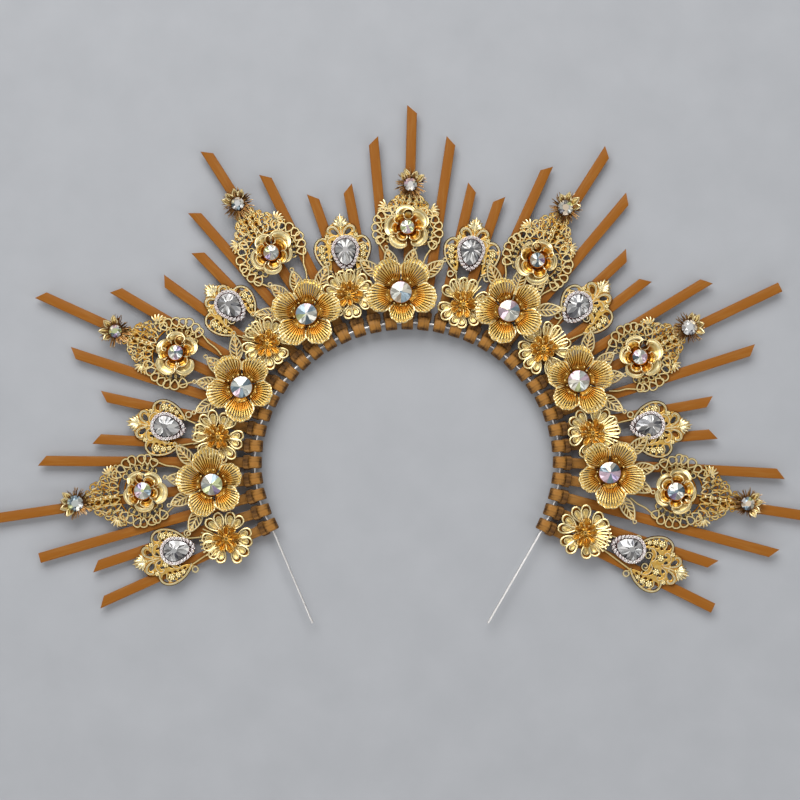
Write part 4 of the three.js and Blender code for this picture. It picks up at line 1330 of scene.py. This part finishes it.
def bloom_inner(shell, bearing, reach, rise, curled):
    """A narrow amber inner petal with folds along it; a curled one stands up like a cup."""
    u, v = petal_grid(13, 9)
    edge = reach * (1 - 0.25 * np.abs(u) ** 2.5)
    angle = bearing + u * math.radians(20) * (1.2 - 0.3 * v)
    folds = np.cos(4 * math.pi * u) * ease(v, 0.1, 0.4)
    height = PETAL_BOTTOM + 0.9 + rise * v**1.4 + 0.2 * folds
    height += 1.5 * v**2 + 1.2 * u**2 * v if curled else 0.8 * u**2 * v
    points = np.dstack([polar(angle, BLOOM_HEART + (edge - BLOOM_HEART) * v), height])
    # Painted shade: darker towards the heart, light and dark across the folds
    shell.sheet(points, THIN_SHEET, 0.3 + 0.2 * v + 0.14 * folds)
    shell.rim(points, 3, HAIR, PLAIN)


def bloom(shell, rng):
    """A small flower of two tiers: outer petals with a fan of rays, and amber inner petals with stamens."""
    turn = rng.uniform(-0.2, 0.2)
    for bearing in turn + turns(BLOOM_PETALS):
        lean = bearing + math.radians(rng.uniform(-7, 7))
        bloom_petal(shell, lean, rng.uniform(*BLOOM_REACH))
    bloom_rays(shell)
    curled = rng.integers(BLOOM_INNER_PETALS)
    for petal in range(BLOOM_INNER_PETALS):
        bearing = turn + FULL_TURN * (petal + 0.5) / BLOOM_INNER_PETALS + math.radians(rng.uniform(-7, 7))
        reach = rng.uniform(*BLOOM_INNER_REACH)
        bloom_inner(shell, bearing, reach, rng.uniform(*BLOOM_INNER_RISE), petal == curled)
    for bearing in turns(BLOOM_RAYS):
        stamen = lifted(polar(bearing, np.array([0.7, 3.4])), [PETAL_BOTTOM + 1.7, PETAL_BOTTOM + 2.1])
        shell.tube(stamen, [SLIM, NEEDLE], sides=5, shade=AMBER)
        shell.bead((*polar(bearing, 3.5), PETAL_BOTTOM + 2.2), 0.45, sides=6, rings=3, shade=PLAIN)
    shell.tube(lifted(circle((0, 0), 0.75, 10), PETAL_BOTTOM + 1.9), SLIM, closed=True)
    shell.revolve(BLOOM_STEM, shade=AMBER)


def drop(number, row, plate):
    tie_number, bloom_offset, pear_offset, shift = row
    station = station_at(tie_number)
    centre = place_at(station, pear_offset)
    foot = place_at(station, bloom_offset)
    bearing = bearing_from(foot, centre)
    stalk = float(np.linalg.norm(centre - foot))
    rng = np.random.default_rng(DROP_SEED + number)
    frame_shell = Shell()
    drop_frame(frame_shell, stalk, shift, plate)
    piece = frame_shell.build(f"drop_{number}_frame", "gold", centre, bearing)
    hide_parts(f"drop_{number}")
    flower_shell = Shell()
    bloom(flower_shell, rng)
    flower_shell.move([0, -stalk, 0])
    flower_shell.build(f"drop_{number}_bloom", "gold", centre, bearing)
    setting = Shell()
    pear_setting(setting)
    setting.build(f"drop_{number}_setting", "silver", centre, bearing)
    stones = Shell()
    pear_stones(stones, rng)
    stones.build(f"drop_{number}_stones", "crystal", centre, bearing)


# Stage: camera, floor and lights
def camera():
    data = bpy.data.cameras.new("camera")
    data.sensor_width = SENSOR
    data.lens = SENSOR * VIEW_DISTANCE / VIEW_WIDTH
    eye = bpy.data.objects.new("camera", data)
    back = VIEW_DISTANCE * math.cos(VIEW_ELEVATION)
    height = VIEW_DISTANCE * math.sin(VIEW_ELEVATION)
    eye.location = (VIEW_CENTRE[0] * MM, (VIEW_CENTRE[1] - back) * MM, height * MM)
    eye.rotation_euler = (math.pi / 2 - VIEW_ELEVATION, 0, 0)
    bpy.context.scene.collection.objects.link(eye)
    bpy.context.scene.camera = eye


def floor():
    mesh = bpy.data.meshes.new("floor")
    corners = [(-FLOOR_HALF, -FLOOR_HALF), (FLOOR_HALF, -FLOOR_HALF), (FLOOR_HALF, FLOOR_HALF),
               (-FLOOR_HALF, FLOOR_HALF)]
    mesh.from_pydata([(*corner, 0) for corner in corners], [], [(0, 1, 2, 3)])
    mesh.materials.append(floor_look())
    plane = bpy.data.objects.new("floor", mesh)
    bpy.context.scene.collection.objects.link(plane)


def area_light(name, place, target, size, power):
    data = bpy.data.lights.new(name, "AREA")
    data.shape = "RECTANGLE"
    data.size, data.size_y = size
    data.energy = power
    lamp = bpy.data.objects.new(name, data)
    lamp.location = place
    x, y, z = np.subtract(target, place)
    lamp.rotation_euler = (math.atan2(math.hypot(x, y), -z), 0, math.atan2(-x, y))
    bpy.context.scene.collection.objects.link(lamp)


def lights():
    for name, settings in LIGHTS.items():
        area_light(name, *settings)
    world = bpy.data.worlds.new("world")
    world.use_nodes = True
    feed(world.node_tree, world.node_tree.nodes["Background"], SKY)
    bpy.context.scene.world = world
    bpy.context.scene.view_settings.view_transform = "Standard"


def crown():
    wire_hoop()
    for number, row in enumerate(TIES, 1):
        tie(number, row)
    for number, row in enumerate(LONG_STATIONS, 1):
        flower(number, row)
        fan(number, row)
    plate = drop_plate()
    for number, row in enumerate(SHORT_STATIONS, 1):
        drop(number, row, plate)


camera()
floor()
lights()
crown()
